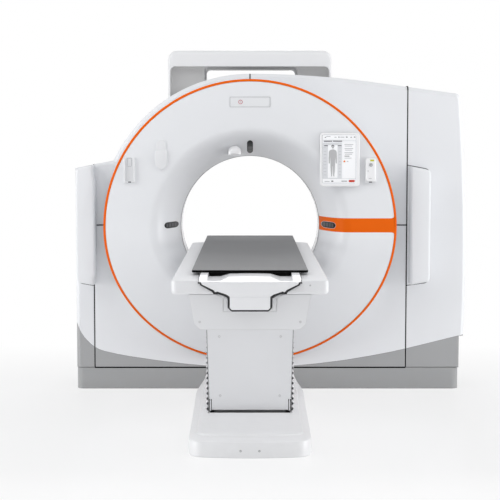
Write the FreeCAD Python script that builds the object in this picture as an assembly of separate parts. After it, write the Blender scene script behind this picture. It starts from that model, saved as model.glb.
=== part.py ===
"""CT scanner: a ring gantry with moving positioning lasers, and a patient table.

The frame is +Z up in millimetres. The origin lies on the floor under the isocentre,
X runs to the right as seen from the table, and the table stands towards -Y.
The scan plane is Y = 0, and the bore axis is the Y line through (0, 0, ISO_HEIGHT).
"""
import FreeCAD, Part
import math
import os

V = FreeCAD.Vector

# ---------------------------------------------------------------- gantry sizes
BORE_RADIUS = 425.0          # inside of the liner: an 850 mm bore
LINER_HALF = 95.0            # the straight liner spans this each side of the scan plane
LINER_WALL = 3.0
MOUTH_RADIUS = BORE_RADIUS + 120.0   # funnel radius on the front face
FUNNEL_BULGE = 16.5          # how far the funnel's arc swells past a straight cone
FUNNEL_CONES = 3             # straight runs that stand for the arc
REAR_BULGE = 43.0            # the same for the flare at the rear
REAR_MOUTH_RADIUS = BORE_RADIUS + 135.0
SKIN = 5.0                   # wall of every moulded cover
SEAM = 3.0                   # open line between neighbouring covers
FINE_SEAM = 0.6              # line between the front cover and its funnel
SLIDE_GAP = 0.3              # between sliding guides

FACE_Y = -400.0              # flat upper half of the front cover
SURROUND_Y = -170.0          # plane of the panels round it
REAR_Y = 430.0

# ---------------------------------------------------------------- rotor, from the bore outwards
HUB_INNER = BORE_RADIUS + 30.0
HUB_OUTER = HUB_INNER + 45.0
RACE_SPLIT = HUB_OUTER + 45.0        # between inner and outer race
RACE_GAP = 0.3
OUTER_RACE = RACE_SPLIT + 45.0
MAGNET_INNER = OUTER_RACE + 50.0
MAGNET_OUTER = MAGNET_INNER + 20.0
MOTOR_GAP = 0.8
MOTOR_DEPTH = 13.0
COIL_OUTER = MAGNET_OUTER + 40.0
FRAME_OUTER = COIL_OUTER + 20.0
FOCUS_OFFSET = BORE_RADIUS + 185.0   # focal spot to the bore axis
TUBE_RADIUS = 108.0
TUBE_OFFSET = FOCUS_OFFSET + 54.0    # x-ray tube axis to the bore axis
TUBE_FLANGE = 22.0
PORT_DEPTH = 14.0
DETECTOR_DISTANCE = FOCUS_OFFSET + HUB_INNER + 20.0   # focal spot to the detector face
DETECTOR_HALF_ANGLE = 26.0
DETECTOR_DEPTH = 88.0
DRUM_OUTER = TUBE_OFFSET + TUBE_RADIUS + 58.0
DRUM_FRONT_Y = 60.0
DRUM_PLATE = 30.0
DRUM_RIM = 16.0
DRUM_RIM_DEPTH = 95.0
FRAME_Y = DRUM_FRONT_Y + DRUM_PLATE + 15.0   # front of the stator plate
FRAME_PLATE = 45.0
UNIT_DEPTH = 180.0           # boxes on the drum, from its plate forwards
UNIT_WIDTH = 200.0
UNIT_HEIGHT = 300.0
UNIT_EDGE = 13.0
UNIT_RIBS = 6
RACE_TRACK = 8.0             # depth of the ball tracks
SLIP_GAP = 12.0
SLIP_DEPTH = 40.0
SLIP_EDGE = 22.0
SLIP_GROOVE = 6.0
TUBE_LENGTH = 205.0
COLLIMATOR_HALF = 150.0
DETECTOR_FINS = 9
WEIGHT_HEIGHT = 120.0

# ---------------------------------------------------------------- gantry outline
DISC_RADIUS = DRUM_OUTER + 46.0      # upper half of the front cover's outline
ISO_HEIGHT = DRUM_OUTER + 181.0      # bore axis above the floor
DISC_DROP = ISO_HEIGHT - 171.0       # lower half axis of the front cover's outline
RIM_BACK = 15.0              # the cover's rim reaches this far behind the panels
RING_WIDTH = 14.0            # orange ring, seen from the front
RING_DEPTH = 8.0
RING_LEDGE = 6.0             # ledge of the cover behind the ring
BAND_LOW = ISO_HEIGHT - 27.0         # orange band to the right of the bore
BAND_HIGH = ISO_HEIGHT + 57.0
BAND_FILLET = 18.0
INLAY = 2.5                  # depth of flush inlays in the cover

CROWN_RADIUS = DISC_RADIUS + 49.0    # panels' outline round the upper left
TOP_ARC_RADIUS = 6.0 * CROWN_RADIUS  # shallow arc on the upper right
SEAM_LEFT_X = -DISC_RADIUS - 82.0
SEAM_RIGHT_X = DISC_RADIUS + 85.0
SEAM_LEVEL_Z = ISO_HEIGHT + 3.0
LEFT_X = SEAM_LEFT_X - 112.0
LEFT_SHOULDER_Z = ISO_HEIGHT + 352.0
SHOULDER_MEET_X = 90.0 - CROWN_RADIUS
TOP_ARC_END_X = SEAM_RIGHT_X - 215.0
RIGHT_TOP_X = SEAM_RIGHT_X + 325.0   # right side bulges between these
RIGHT_MID_X = SEAM_RIGHT_X + 363.0
RIGHT_MID_Z = ISO_HEIGHT + 49.0
RIGHT_LOW_X = SEAM_RIGHT_X + 339.0
RIGHT_CORNER = 42.0
EDGE_ROUND = 28.0            # rounding of the panels' outer edges
BEVEL_SHARE = 0.7            # bevel of their inside against that rounding
PLINTH_TOP = 132.0
PLINTH_RIGHT_X = RIGHT_LOW_X - 11.0
PLINTH_CORNER = 45.0
ZONE_RIGHT_Z = ISO_HEIGHT - 683.0        # the right side is narrower below this
FRONT_BAND = 60.0            # depth of the front panels' return
REAR_BAND = 100.0

# ---------------------------------------------------------------- fixed frame
RAIL = 30.0                  # cover frame tube
HOOP_Y = SURROUND_Y + FRONT_BAND     # middle of the front hoop, behind the seam
HOOP_FOOT = 60.0             # the hoops stand on the floor frame's rails
BASE_HEIGHT = 90.0
BASE_PLATE = 20.0
BASE_WALL = 10.0
ANCHOR_X = 620.0             # anchor bolts
ANCHOR_FRONT_Y = -80.0
ANCHOR_REAR_Y = 330.0
ANCHOR_HOLE = 18.0
FOOT_INNER = 110.0           # foot plates reach this far inside the anchors
FOOT_OUTER = 90.0
CASTING_SIDES = 24           # sides of the stator plate's outline
RIB = 20.0
RIB_RISE = 320.0

# ---------------------------------------------------------------- laser housings
BRIDGE_TOP_Z = ISO_HEIGHT + CROWN_RADIUS + 144.0
BRIDGE_BAR = 98.0            # depth of the bridge's bar
BRIDGE_BAR_Z = BRIDGE_TOP_Z - BRIDGE_BAR
BRIDGE_LEFT_X = -501.0
BRIDGE_RIGHT_X = 498.0
BRIDGE_FRONT_Y = SURROUND_Y + 50.0
BRIDGE_REAR_Y = REAR_Y - 80.0
BRIDGE_OPEN_LEFT = BRIDGE_LEFT_X + 222.0
BRIDGE_OPEN_RIGHT = BRIDGE_RIGHT_X - 208.0
BRIDGE_OPEN_ROUND = 26.0
BRIDGE_ROUND = 55.0
BRIDGE_EDGE = 12.0
BRIDGE_WALL = 4.0
BRIDGE_BAND = 30.0           # outer band of each leg, before the recessed web
BRIDGE_RECESS = 45.0
BRIDGE_SLIT_Y = BRIDGE_FRONT_Y + 40.0
TOWER_DEPTH = 130.0
TOWER_ROUND = 22.0
TOWER_WALL = 4.0
RIGHT_TOWER = (SEAM_RIGHT_X + 14.0, SEAM_RIGHT_X + 134.0)
LEFT_TOWER = (SEAM_LEFT_X - 94.0, SEAM_LEFT_X + 14.0)
TOWER_LOW = ISO_HEIGHT - 351.0
TOWER_HIGH = ISO_HEIGHT + 362.0
TOWER_SLOPE = 26.0           # the top falls this much towards its outer side
TOWER_BEVEL = 24.0
SLIT = 12.0                  # width of the beam slits
SLIT_END = 65.0              # the slits stop this far from a tower's ends
LASER_RAIL = 12.0            # height of the rails that the lasers run on
LASER_RAIL_HALF = 10.0
CARRIAGE = 62.0
CARRIAGE_HALF = 20.0
CARRIAGE_DEPTH = 34.0
MODULE_LENGTH = 28.0
MODULE_RADIUS = 14.0

# ---------------------------------------------------------------- fittings on the face
DISPLAY_HALF = 118.0
DISPLAY_LOW = ISO_HEIGHT + DISC_RADIUS - 157.0
DISPLAY_HIGH = DISPLAY_LOW + 57.0
DISPLAY_GAP = 1.5
WINDOW_LENGTH = 83.0
WINDOW_WIDTH = 43.0
WINDOW_CENTRE_R = BORE_RADIUS + 50.0
WINDOW_RISE = 10.0           # side windows above the bore axis
DOME_RADIUS = 38.0
DOME_SIDE = 92.0             # dome centre to the left of the bore axis
DOME_RISE = BORE_RADIUS + 38.0
HOLDER_X = DISC_RADIUS - 159.5       # remote holders, one each side
HOLDER_WIDTH = 65.0
HOLDER_LOW_Z = ISO_HEIGHT + 269.0
HOLDER_HIGH_Z = HOLDER_LOW_Z + 150.0
HOLDER_DEPTH = 14.0
HOLDER_BACK = 2.0
HOLDER_SIDE = 3.5
HOLDER_LIP = 8.0
HOLDER_NOTCH = 16.0
REMOTE_WIDTH = 57.0
REMOTE_THICK = 24.0
REMOTE_LOW_Z = HOLDER_LOW_Z + HOLDER_LIP
REMOTE_HIGH_Z = REMOTE_LOW_Z + 139.0
REMOTE_ROUND = 13.0
BUTTON_RADIUS = 12.0
BUTTON_Z = REMOTE_HIGH_Z - 40.0
BUTTON_PROUD = 1.6
BUTTON_TRAVEL = 1.0
BUTTON_SEAT = 4.0
DOCK_X = HOLDER_X - 183.5    # tablet docks, one each side
DOCK_LOW_Z = ISO_HEIGHT + 348.0
DOCK_NECK_Z = DOCK_LOW_Z + 113.0
DOCK_TOP_Z = DOCK_LOW_Z + 174.0
DOCK_WIDTH = 94.0
DOCK_NECK = 73.0
DOCK_THICK = 8.0
DOCK_STEP = 4.0              # the neck lies this much lower
DOCK_BEVEL = 10.0
TABLET_HALF = 118.0
TABLET_LOW_Z = DOCK_LOW_Z - 101.0
TABLET_HIGH_Z = TABLET_LOW_Z + 319.0
TABLET_THICK = 15.0
TABLET_ROUND = 22.0
TABLET_EDGE = 4.0
SCREEN_MARGIN = 16.0
SCREEN_END = 12.5
SCREEN_ROUND = 5.0
SCREEN_THICK = 1.2

# ---------------------------------------------------------------- patient table, across
PLATE_HALF = BORE_RADIUS - 160.0
PLATE_THICK = 11.0
PLATE_CORNER = 16.0
CRADLE_HALF = PLATE_HALF - 37.0
CRADLE_SHOULDER = CRADLE_HALF - 11.0
CRADLE_HAUNCH = CRADLE_HALF - 60.0
CRADLE_BEAD = CRADLE_HALF - 69.0     # small bead under each side
KEEL_HALF = CRADLE_HALF - 132.0
KEEL_HAUNCH = KEEL_HALF + 15.0
KEEL_FOOT = KEEL_HALF - 16.0
SPACER_HALF = CRADLE_HALF - 41.0
SPACER_BEVEL = 8.0
LAND_OUTER = CRADLE_HALF - 4.0           # lands that carry the flat tabletop
LAND_INNER = SPACER_HALF + 2.0
HUMP_FOOT = SPACER_HALF - 52.0           # the hump between the lands starts here
HUMP_TOP = SPACER_HALF - 94.0            # and is level within this
WING_HALF = CRADLE_HALF + 119.0
GROOVE_HALF = KEEL_HALF + 22.0
GROOVE_BEVEL = 32.0
BODY_TOP_HALF = CRADLE_HALF + 42.0
BODY_BOTTOM_HALF = BODY_TOP_HALF - 28.0
BODY_FOOT_BEVEL = 22.0
PANEL_TOP_HALF = BODY_BOTTOM_HALF - 9.0
PANEL_BOTTOM_HALF = PANEL_TOP_HALF - 15.0
BELLOWS_HALF = PANEL_TOP_HALF
BELLOWS_FOLD = 13.0
TUBE_HALF = BELLOWS_HALF - 43.0
FOOT_HALF_FRONT = BELLOWS_HALF + 67.0
FOOT_HALF_REAR = FOOT_HALF_FRONT + 18.0

# ---------------------------------------------------------------- patient table, upwards
PLATE_TOP_Z = ISO_HEIGHT - 69.0
CRADLE_TOP_Z = PLATE_TOP_Z - PLATE_THICK - 12.0
CRADLE_DISH = 26.0
CRADLE_SHOULDER_Z = CRADLE_TOP_Z - 21.0
CRADLE_HAUNCH_Z = CRADLE_TOP_Z - 48.0
CRADLE_BEAD_Z = CRADLE_TOP_Z - 58.0
BEAD_RISE = 3.0
KEEL_HAUNCH_Z = CRADLE_TOP_Z - 68.0
KEEL_BOTTOM_Z = CRADLE_TOP_Z - 136.5
CAP_CROWN = 9.0              # hump of the foot end above the cradle's edge
CAP_SHOULDER = 5.0
CAP_FRONT_DROP = 8.0                     # top of the cap's front edge below the cradle's top
GASKET = 7.0
CRADLE_GAP = 2.0             # round the cradle in its channel
WING_TOP_Z = CRADLE_TOP_Z - 0.5
WING_BOTTOM_Z = CRADLE_TOP_Z - 64.0
WING_TOP_ROUND = 7.0
WING_LOW_ROUND = 14.0
BODY_BOTTOM_Z = KEEL_BOTTOM_Z - 84.5
SHEET = 4.0
STRIP_HALF = 12.0            # slide strips under the keel
PANEL_TOP_Z = BODY_BOTTOM_Z - 95.0
PANEL_BOTTOM_Z = 104.0
NOTCH_WIDTH = 15.0
NOTCH_HEIGHT = 58.0
PIN_RADIUS = 2.4
FOOT_TOP_Z = 95.0
FOOT_RIM_Z = 69.0
LIFT_DOWN = 170.0            # table lift below and above the rest height
LIFT_UP = 60.0
STAGE_SHARE = 0.5            # the middle stage moves this share of the lift
BELLOWS_FOLDS = 22
BELLOWS_WALL = 1.6

# ---------------------------------------------------------------- patient table, along
TABLE_NEAR_Y = -2590.0       # foot end of the tabletop
CAP_LIP = 20.0
CAP_RAMP = 130.0             # the cap's top climbs over this length
PLATE_NEAR_Y = TABLE_NEAR_Y + 246.0
PLATE_FAR_Y = LINER_HALF - 152.0
SPACER_INSET = 6.0
SPACER_DEPTH = 46.0
CAP_LENGTH = PLATE_NEAR_Y + SPACER_INSET + SPACER_DEPTH - TABLE_NEAR_Y
SEAL_RECESS = 6.0            # seal plate behind the body's near end
WING_NEAR_Y = TABLE_NEAR_Y + 2.0
WING_FAR_Y = FACE_Y + 100.0
WING_FAR_ROUND = 70.0
WING_NEAR_ROUND = 26.0
BODY_NEAR_Y = TABLE_NEAR_Y + 30.0
BODY_FAR_Y = FACE_Y
COLUMN_FORWARD = 1220.0      # from the table's foot end to the column
COLUMN_DEPTH = 490.0
PANEL_Y = TABLE_NEAR_Y + COLUMN_FORWARD
PANEL_THICK = 6.0
COLUMN_REAR_Y = PANEL_Y + COLUMN_DEPTH
TUBE_WALL = 8.0
TUBE_FRONT_Y = PANEL_Y + 45.0
TUBE_REAR_Y = COLUMN_REAR_Y - 45.0
STAGE_GAP = 0.6
COLLAR = 40.0
STAGE_STOP = 15.0
STAGE_FOOT = 70.0            # foot of the upper tube above the floor at the lowest height
STAGE_LAP = 60.0             # the inner panel reaches this far behind the front one
SLIDE_TRAVEL = 1800.0
FOOT_FORWARD = 550.0         # from the table's foot end to the foot cover
FOOT_FRONT_Y = TABLE_NEAR_Y + FOOT_FORWARD
FOOT_CORNER_Y = FOOT_FRONT_Y + 100.0
FOOT_SIDE_INSET = 52.0
FOOT_FRONT_INSET = 65.0
FOOT_RIM_INSET = 6.0
FOOT_RIM_SLOPE = 28.0
FOOT_CORNER = 50.0
FOOT_OPEN_FRONT = 32.0       # the foot's opening starts this far before the front panel
FOOT_BOW = 42.0              # how far the front bows out between its corners
TABLE_PLATE_HALF = TUBE_HALF + 50.0
TABLE_PLATE = 12.0
TABLE_PLATE_NEAR_Y = FOOT_FRONT_Y + 240.0
TABLE_PLATE_FAR_Y = SURROUND_Y - 60.0
TABLE_ANCHOR_X = 150.0
TABLE_ANCHOR_INSET = 90.0
STIFFENER = 50.0


# ---------------------------------------------------------------- drawing helpers
def box(x0, x1, y0, y1, z0, z1):
    """A box between pairs of limits."""
    return Part.makeBox(x1 - x0, y1 - y0, z1 - z0, V(x0, y0, z0))


def drawn(path):
    """A closed wire in the XY plane. Two numbers draw a line, four an arc (through, end)."""
    start = V(path[0][0], path[0][1], 0)
    here = start
    edges = []
    for step in list(path[1:]) + [path[0]]:
        end = V(step[-2], step[-1], 0)
        if len(step) == 4:
            edges.append(Part.Arc(here, V(step[0], step[1], 0), end).toShape())
        elif here.distanceToPoint(end) > 1e-6:
            edges.append(Part.LineSegment(here, end).toShape())
        here = end
    return Part.Wire(edges)


def rounded(x0, x1, z0, z1, radius):
    """A closed wire: a rectangle with round corners."""
    cut = radius * (1 - math.sqrt(0.5))
    return drawn([
        (x0 + radius, z0),
        (x1 - radius, z0), (x1 - cut, z0 + cut, x1, z0 + radius),
        (x1, z1 - radius), (x1 - cut, z1 - cut, x1 - radius, z1),
        (x0 + radius, z1), (x0 + cut, z1 - cut, x0, z1 - radius),
        (x0, z0 + radius), (x0 + cut, z0 + cut, x0 + radius, z0)])


def along_y(wire, y0, y1):
    """Stand a drawn outline up in the XZ plane and draw it out from y0 to y1."""
    face = Part.Face(wire)
    face.rotate(V(0, 0, 0), V(1, 0, 0), 90)
    face.translate(V(0, y0, 0))
    return face.extrude(V(0, y1 - y0, 0))


def along_x(wire, x0, x1):
    """An outline drawn as (y, z), drawn out from x0 to x1."""
    face = Part.Face(wire)
    face.rotate(V(0, 0, 0), V(1, 1, 1), 120)
    face.translate(V(x0, 0, 0))
    return face.extrude(V(x1 - x0, 0, 0))


def along_z(wire, z0, z1):
    """An outline drawn as (x, y), drawn up from z0 to z1."""
    face = Part.Face(wire)
    face.translate(V(0, 0, z0))
    return face.extrude(V(0, 0, z1 - z0))


def turned(path):
    """Turn an outline drawn as (radius, y) round the bore axis."""
    face = Part.Face(drawn(path))
    face.translate(V(0, 0, ISO_HEIGHT))
    return face.revolve(V(0, 0, ISO_HEIGHT), V(0, 1, 0), 360)


def ring(inner, outer, y0, y1):
    """A plain ring about the bore axis."""
    return turned([(inner, y0), (outer, y0), (outer, y1), (inner, y1)])


def rod(start, end, radius):
    """A round bar between two points."""
    run = V(*end) - V(*start)
    return Part.makeCylinder(radius, run.Length, V(*start), run)


def about_bore(shape, degrees):
    """A copy swung round the bore axis."""
    copy = shape.copy()
    copy.rotate(V(0, 0, ISO_HEIGHT), V(0, 1, 0), degrees)
    return copy


def mirrored(shape):
    """The other-handed copy across X = 0."""
    return shape.mirror(V(0, 0, 0), V(1, 0, 0))


def soften(shape, radius, chosen):
    """Round the edges for which chosen(edge) is true."""
    return shape.makeFillet(radius, [edge for edge in shape.Edges if chosen(edge)])


def one_solid(shape):
    """The largest solid of a result, with split faces joined."""
    solid = max(shape.Solids, key=lambda item: item.Volume)
    return solid.removeSplitter()


# ---------------------------------------------------------------- front cover body
def disc_outline(inset):
    """Outline of the front cover: half circle above, half ellipse below."""
    radius = DISC_RADIUS - inset
    drop = DISC_DROP - inset
    upper = Part.Arc(V(radius, 0, 0), V(0, radius, 0), V(-radius, 0, 0)).toShape()
    ellipse = Part.Ellipse(V(0, 0, 0), radius, drop)
    lower = Part.ArcOfEllipse(ellipse, math.pi, 2 * math.pi).toShape()
    wire = Part.Wire([upper, lower])
    wire.translate(V(0, ISO_HEIGHT, 0))
    return wire


def disc(inset, y0, y1):
    """The front cover's outline as a thick plate."""
    return along_y(disc_outline(inset), y0, y1)


def face_radius():
    """Radius of the arc in which the lower half of the face recedes."""
    recess = SURROUND_Y - FACE_Y
    return (DISC_DROP ** 2 + recess ** 2) / (2 * recess)


def face_body(inset, back):
    """All that lies behind the front face: flat above the axis, receding below it."""
    radius = face_radius()
    centre_y = FACE_Y + radius
    reach = DISC_DROP + 20.0
    top = ISO_HEIGHT + DISC_RADIUS + 20.0

    def on_arc(below):
        return (centre_y - math.sqrt((radius - inset) ** 2 - below ** 2), ISO_HEIGHT - below)

    profile = drawn([
        (FACE_Y + inset, top), (FACE_Y + inset, ISO_HEIGHT),
        on_arc(reach / 2) + on_arc(reach),
        (back, ISO_HEIGHT - reach), (back, top)])
    return along_x(profile, -DISC_RADIUS - 20, DISC_RADIUS + 20)


def flare(mouth, mouth_y, end_y, swell):
    """Points of a funnel from its mouth to the bore, on a bulging line, as (radius, y)."""
    points = []
    for step in range(FUNNEL_CONES + 1):
        share = step / FUNNEL_CONES
        bulge = 4 * swell * share * (1 - share)
        points.append((mouth + (BORE_RADIUS - mouth) * share - bulge,
                       mouth_y + (end_y - mouth_y) * share))
    return points


def funnel(extra):
    """The round opening from the front face to the liner, widened by extra."""
    line = flare(MOUTH_RADIUS, FACE_Y, -LINER_HALF, FUNNEL_BULGE)
    return turned([(0, FACE_Y - 40), (MOUTH_RADIUS + extra, FACE_Y - 40)]
                  + [(radius + extra, y) for radius, y in line] + [(0, -LINER_HALF)])


def surface_layer(region, depth):
    """The part of a region that lies within depth under the face and the funnel."""
    inside = region.common(face_body(0, -LINER_HALF)).cut(funnel(0))
    core = face_body(depth, -LINER_HALF).cut(funnel(depth))
    return inside.cut(core)


# ---------------------------------------------------------------- fittings in the face
def pill(length, width):
    """A slot with round ends, lying along X about the origin."""
    straight = length / 2 - width / 2
    return drawn([
        (-straight, -width / 2), (straight, -width / 2),
        (length / 2, 0, straight, width / 2),
        (-straight, width / 2), (-length / 2, 0, -straight, -width / 2)])


def laser_window(x, z, upright):
    """A dark window let into the funnel, long along the radius."""
    wire = pill(WINDOW_LENGTH, WINDOW_WIDTH)
    if upright:
        wire.rotate(V(0, 0, 0), V(0, 0, 1), 90)
    wire.translate(V(x, z, 0))
    return one_solid(surface_layer(along_y(wire, FACE_Y, -LINER_HALF - 5), INLAY))


def trim():
    """The orange ring in the rebate round the front cover, and its band to the bore."""
    hoop = disc(0, FACE_Y - 5, SURROUND_Y + 40).common(face_body(0, SURROUND_Y + 30))
    hoop = hoop.cut(disc(RING_WIDTH, FACE_Y - 10, SURROUND_Y + 60))
    hoop = hoop.cut(face_body(RING_DEPTH, SURROUND_Y + 60))
    reach = DISC_RADIUS - RING_WIDTH
    rise = BAND_HIGH - ISO_HEIGHT
    fall = ISO_HEIGHT - BAND_LOW
    corner = BAND_FILLET
    right_high = math.sqrt(reach ** 2 - (rise + corner) ** 2)
    right_low = math.sqrt(reach ** 2 - (fall + corner) ** 2)
    bend = corner * (1 - math.sqrt(0.5))
    wire = drawn([
        (BORE_RADIUS - 10, BAND_LOW), (right_low - corner, BAND_LOW),
        (right_low - bend, BAND_LOW - bend, right_low, BAND_LOW - corner),
        (reach + 4, BAND_LOW - corner), (reach + 4, BAND_HIGH + corner),
        (right_high, BAND_HIGH + corner),
        (right_high - bend, BAND_HIGH + bend, right_high - corner, BAND_HIGH),
        (BORE_RADIUS - 10, BAND_HIGH)])
    band = surface_layer(along_y(wire, FACE_Y - 5, -LINER_HALF), INLAY)
    return hoop.fuse(band)


def display_plate(gap):
    """The flush display window, or its pocket when a gap is given."""
    wire = rounded(-DISPLAY_HALF - gap, DISPLAY_HALF + gap, DISPLAY_LOW - gap,
                   DISPLAY_HIGH + gap, INLAY + gap)
    return along_y(wire, FACE_Y, FACE_Y + INLAY)


def camera_dome():
    """A low dome that stands out of the funnel beside the top window."""
    radius = math.hypot(DOME_SIDE, DOME_RISE)
    line = flare(MOUTH_RADIUS, FACE_Y, -LINER_HALF, FUNNEL_BULGE)
    runs = [run for run in zip(line, line[1:]) if run[0][0] >= radius >= run[1][0]]
    wide, narrow = runs[0]
    y = wide[1] + (narrow[1] - wide[1]) * (wide[0] - radius) / (wide[0] - narrow[0])
    profile = [(0, y + DOME_RADIUS)]
    for degrees in (0, 50, 90):
        angle = math.radians(degrees)
        profile.append((DOME_RADIUS * math.cos(angle), y - DOME_RADIUS * math.sin(angle)))
    profile.insert(1, (DOME_RADIUS, y + DOME_RADIUS))
    face = Part.Face(drawn(profile))
    dome = face.revolve(V(0, 0, 0), V(0, 1, 0), 360)
    dome.translate(V(-DOME_SIDE, 0, ISO_HEIGHT + DOME_RISE))
    return one_solid(dome.common(funnel(0)))


def tablet_dock(side):
    """Keyhole mounting plate on the face: an oval pad over a lower neck."""
    half = DOCK_WIDTH / 2
    neck = DOCK_NECK / 2
    knee = DOCK_LOW_Z + half
    pad = along_y(drawn([
        (-half, DOCK_NECK_Z - DOCK_BEVEL), (-half, knee),
        (0, DOCK_LOW_Z, half, knee), (half, DOCK_NECK_Z - DOCK_BEVEL),
        (neck, DOCK_NECK_Z), (-neck, DOCK_NECK_Z)]), FACE_Y - DOCK_THICK, FACE_Y)
    stem = along_y(drawn([
        (-neck, knee), (neck, knee), (neck, DOCK_TOP_Z - DOCK_BEVEL),
        (neck - DOCK_BEVEL, DOCK_TOP_Z), (DOCK_BEVEL - neck, DOCK_TOP_Z),
        (-neck, DOCK_TOP_Z - DOCK_BEVEL)]), FACE_Y - DOCK_THICK + DOCK_STEP, FACE_Y)
    plate = pad.fuse(stem)
    plate.translate(V(side * DOCK_X, 0, 0))
    return one_solid(plate)


def remote_holder(side):
    """Tray on the face that a remote stands in, with a notched lip at its foot."""
    half = HOLDER_WIDTH / 2
    front = FACE_Y - HOLDER_DEPTH
    tray = box(-half, half, front, FACE_Y, HOLDER_LOW_Z, HOLDER_HIGH_Z)
    tray = tray.cut(box(HOLDER_SIDE - half, half - HOLDER_SIDE, front - 1, FACE_Y - HOLDER_BACK,
                        REMOTE_LOW_Z, HOLDER_HIGH_Z + 1))
    tray = tray.cut(along_y(drawn([
        (-HOLDER_NOTCH, HOLDER_LOW_Z - 1), (HOLDER_NOTCH, HOLDER_LOW_Z - 1),
        (HOLDER_NOTCH - HOLDER_SIDE, REMOTE_LOW_Z + 1),
        (HOLDER_SIDE - HOLDER_NOTCH, REMOTE_LOW_Z + 1)]), front - 1, FACE_Y - HOLDER_BACK))
    for edge in (-half, half):
        for low in (HOLDER_LOW_Z, HOLDER_HIGH_Z):
            inward = math.copysign(HOLDER_SIDE, -edge)
            rise = HOLDER_SIDE if low == HOLDER_LOW_Z else -HOLDER_SIDE
            corner = along_y(drawn([(edge, low), (edge + inward, low), (edge, low + rise)]),
                             front - 1, FACE_Y + 1)
            tray = tray.cut(corner)
    tray.translate(V(side * HOLDER_X, 0, 0))
    return one_solid(tray)


def bevelled_plate(wire, front, back, bevel):
    """An outline drawn out between two Y levels, with the front edges bevelled."""
    body = along_y(wire, front, back)
    edges = [edge for edge in body.Edges if abs(edge.BoundBox.YMax - front) < 0.01]
    return body.makeChamfer(bevel, edges)


def tablet():
    """Tablet computer hung on the right dock, with a pocket for its glass."""
    back = FACE_Y - DOCK_THICK
    wire = rounded(DOCK_X - TABLET_HALF, DOCK_X + TABLET_HALF, TABLET_LOW_Z, TABLET_HIGH_Z,
                   TABLET_ROUND)
    body = bevelled_plate(wire, back - TABLET_THICK, back, TABLET_EDGE)
    return one_solid(body.cut(tablet_screen(0.0)))


def tablet_screen(gap=0.1):
    """Glass of the tablet."""
    half = TABLET_HALF - SCREEN_MARGIN - gap
    front = FACE_Y - DOCK_THICK - TABLET_THICK
    wire = rounded(DOCK_X - half, DOCK_X + half, TABLET_LOW_Z + SCREEN_END + gap,
                   TABLET_HIGH_Z - SCREEN_END - gap, SCREEN_ROUND)
    return along_y(wire, front, front + SCREEN_THICK)


def remote():
    """Hand remote in the right holder, with a recess round its button."""
    half = REMOTE_WIDTH / 2
    back = FACE_Y - HOLDER_BACK
    front = back - REMOTE_THICK
    body = bevelled_plate(rounded(HOLDER_X - half, HOLDER_X + half, REMOTE_LOW_Z,
                                  REMOTE_HIGH_Z, REMOTE_ROUND), front, back, TABLET_EDGE)
    seat = rod((HOLDER_X, front - 1, BUTTON_Z), (HOLDER_X, front + BUTTON_SEAT, BUTTON_Z),
               BUTTON_RADIUS + SLIDE_GAP)
    return one_solid(body.cut(seat))


def remote_button():
    """Round rocker pad of the remote."""
    front = FACE_Y - HOLDER_BACK - REMOTE_THICK
    pad = rod((HOLDER_X, front - BUTTON_PROUD, BUTTON_Z),
              (HOLDER_X, front + BUTTON_SEAT - BUTTON_TRAVEL - SLIDE_GAP, BUTTON_Z),
              BUTTON_RADIUS)
    edges = [edge for edge in pad.Edges if edge.BoundBox.YMax < front - BUTTON_PROUD + 0.01]
    return pad.makeChamfer(0.8, edges)


def front_cover(inlays):
    """Dished front cover: its rim and the receding face, up to the funnel's mouth."""
    back = SURROUND_Y + RIM_BACK
    outer = disc(0, FACE_Y - 5, back).common(face_body(0, back))
    shell = outer.cut(disc(SKIN, FACE_Y - 5, back + 5).common(face_body(SKIN, back + 5)))
    joggle = outer.cut(disc(RING_WIDTH + RING_LEDGE, FACE_Y - 5, back + 5))
    joggle = joggle.cut(face_body(RING_DEPTH + RING_LEDGE, back + 5))
    cover = shell.fuse(joggle).cut(funnel(SKIN + FINE_SEAM))
    for inlay in inlays:
        cover = cover.cut(inlay)
    return one_solid(cover)


def front_funnel(inlays):
    """Flared ring from the front cover's mouth to the liner, with a seat for the cover."""
    y_limit = -LINER_HALF
    tube = funnel(SKIN).common(face_body(0, y_limit)).cut(funnel(0))
    seat = funnel(SKIN + EDGE_ROUND).common(face_body(SKIN, FACE_Y + 2 * EDGE_ROUND))
    seat = seat.cut(face_body(2 * SKIN, FACE_Y + 3 * EDGE_ROUND)).cut(funnel(0))
    shell = tube.fuse(seat)
    for inlay in inlays:
        shell = shell.cut(inlay)
    return one_solid(shell)


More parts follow.
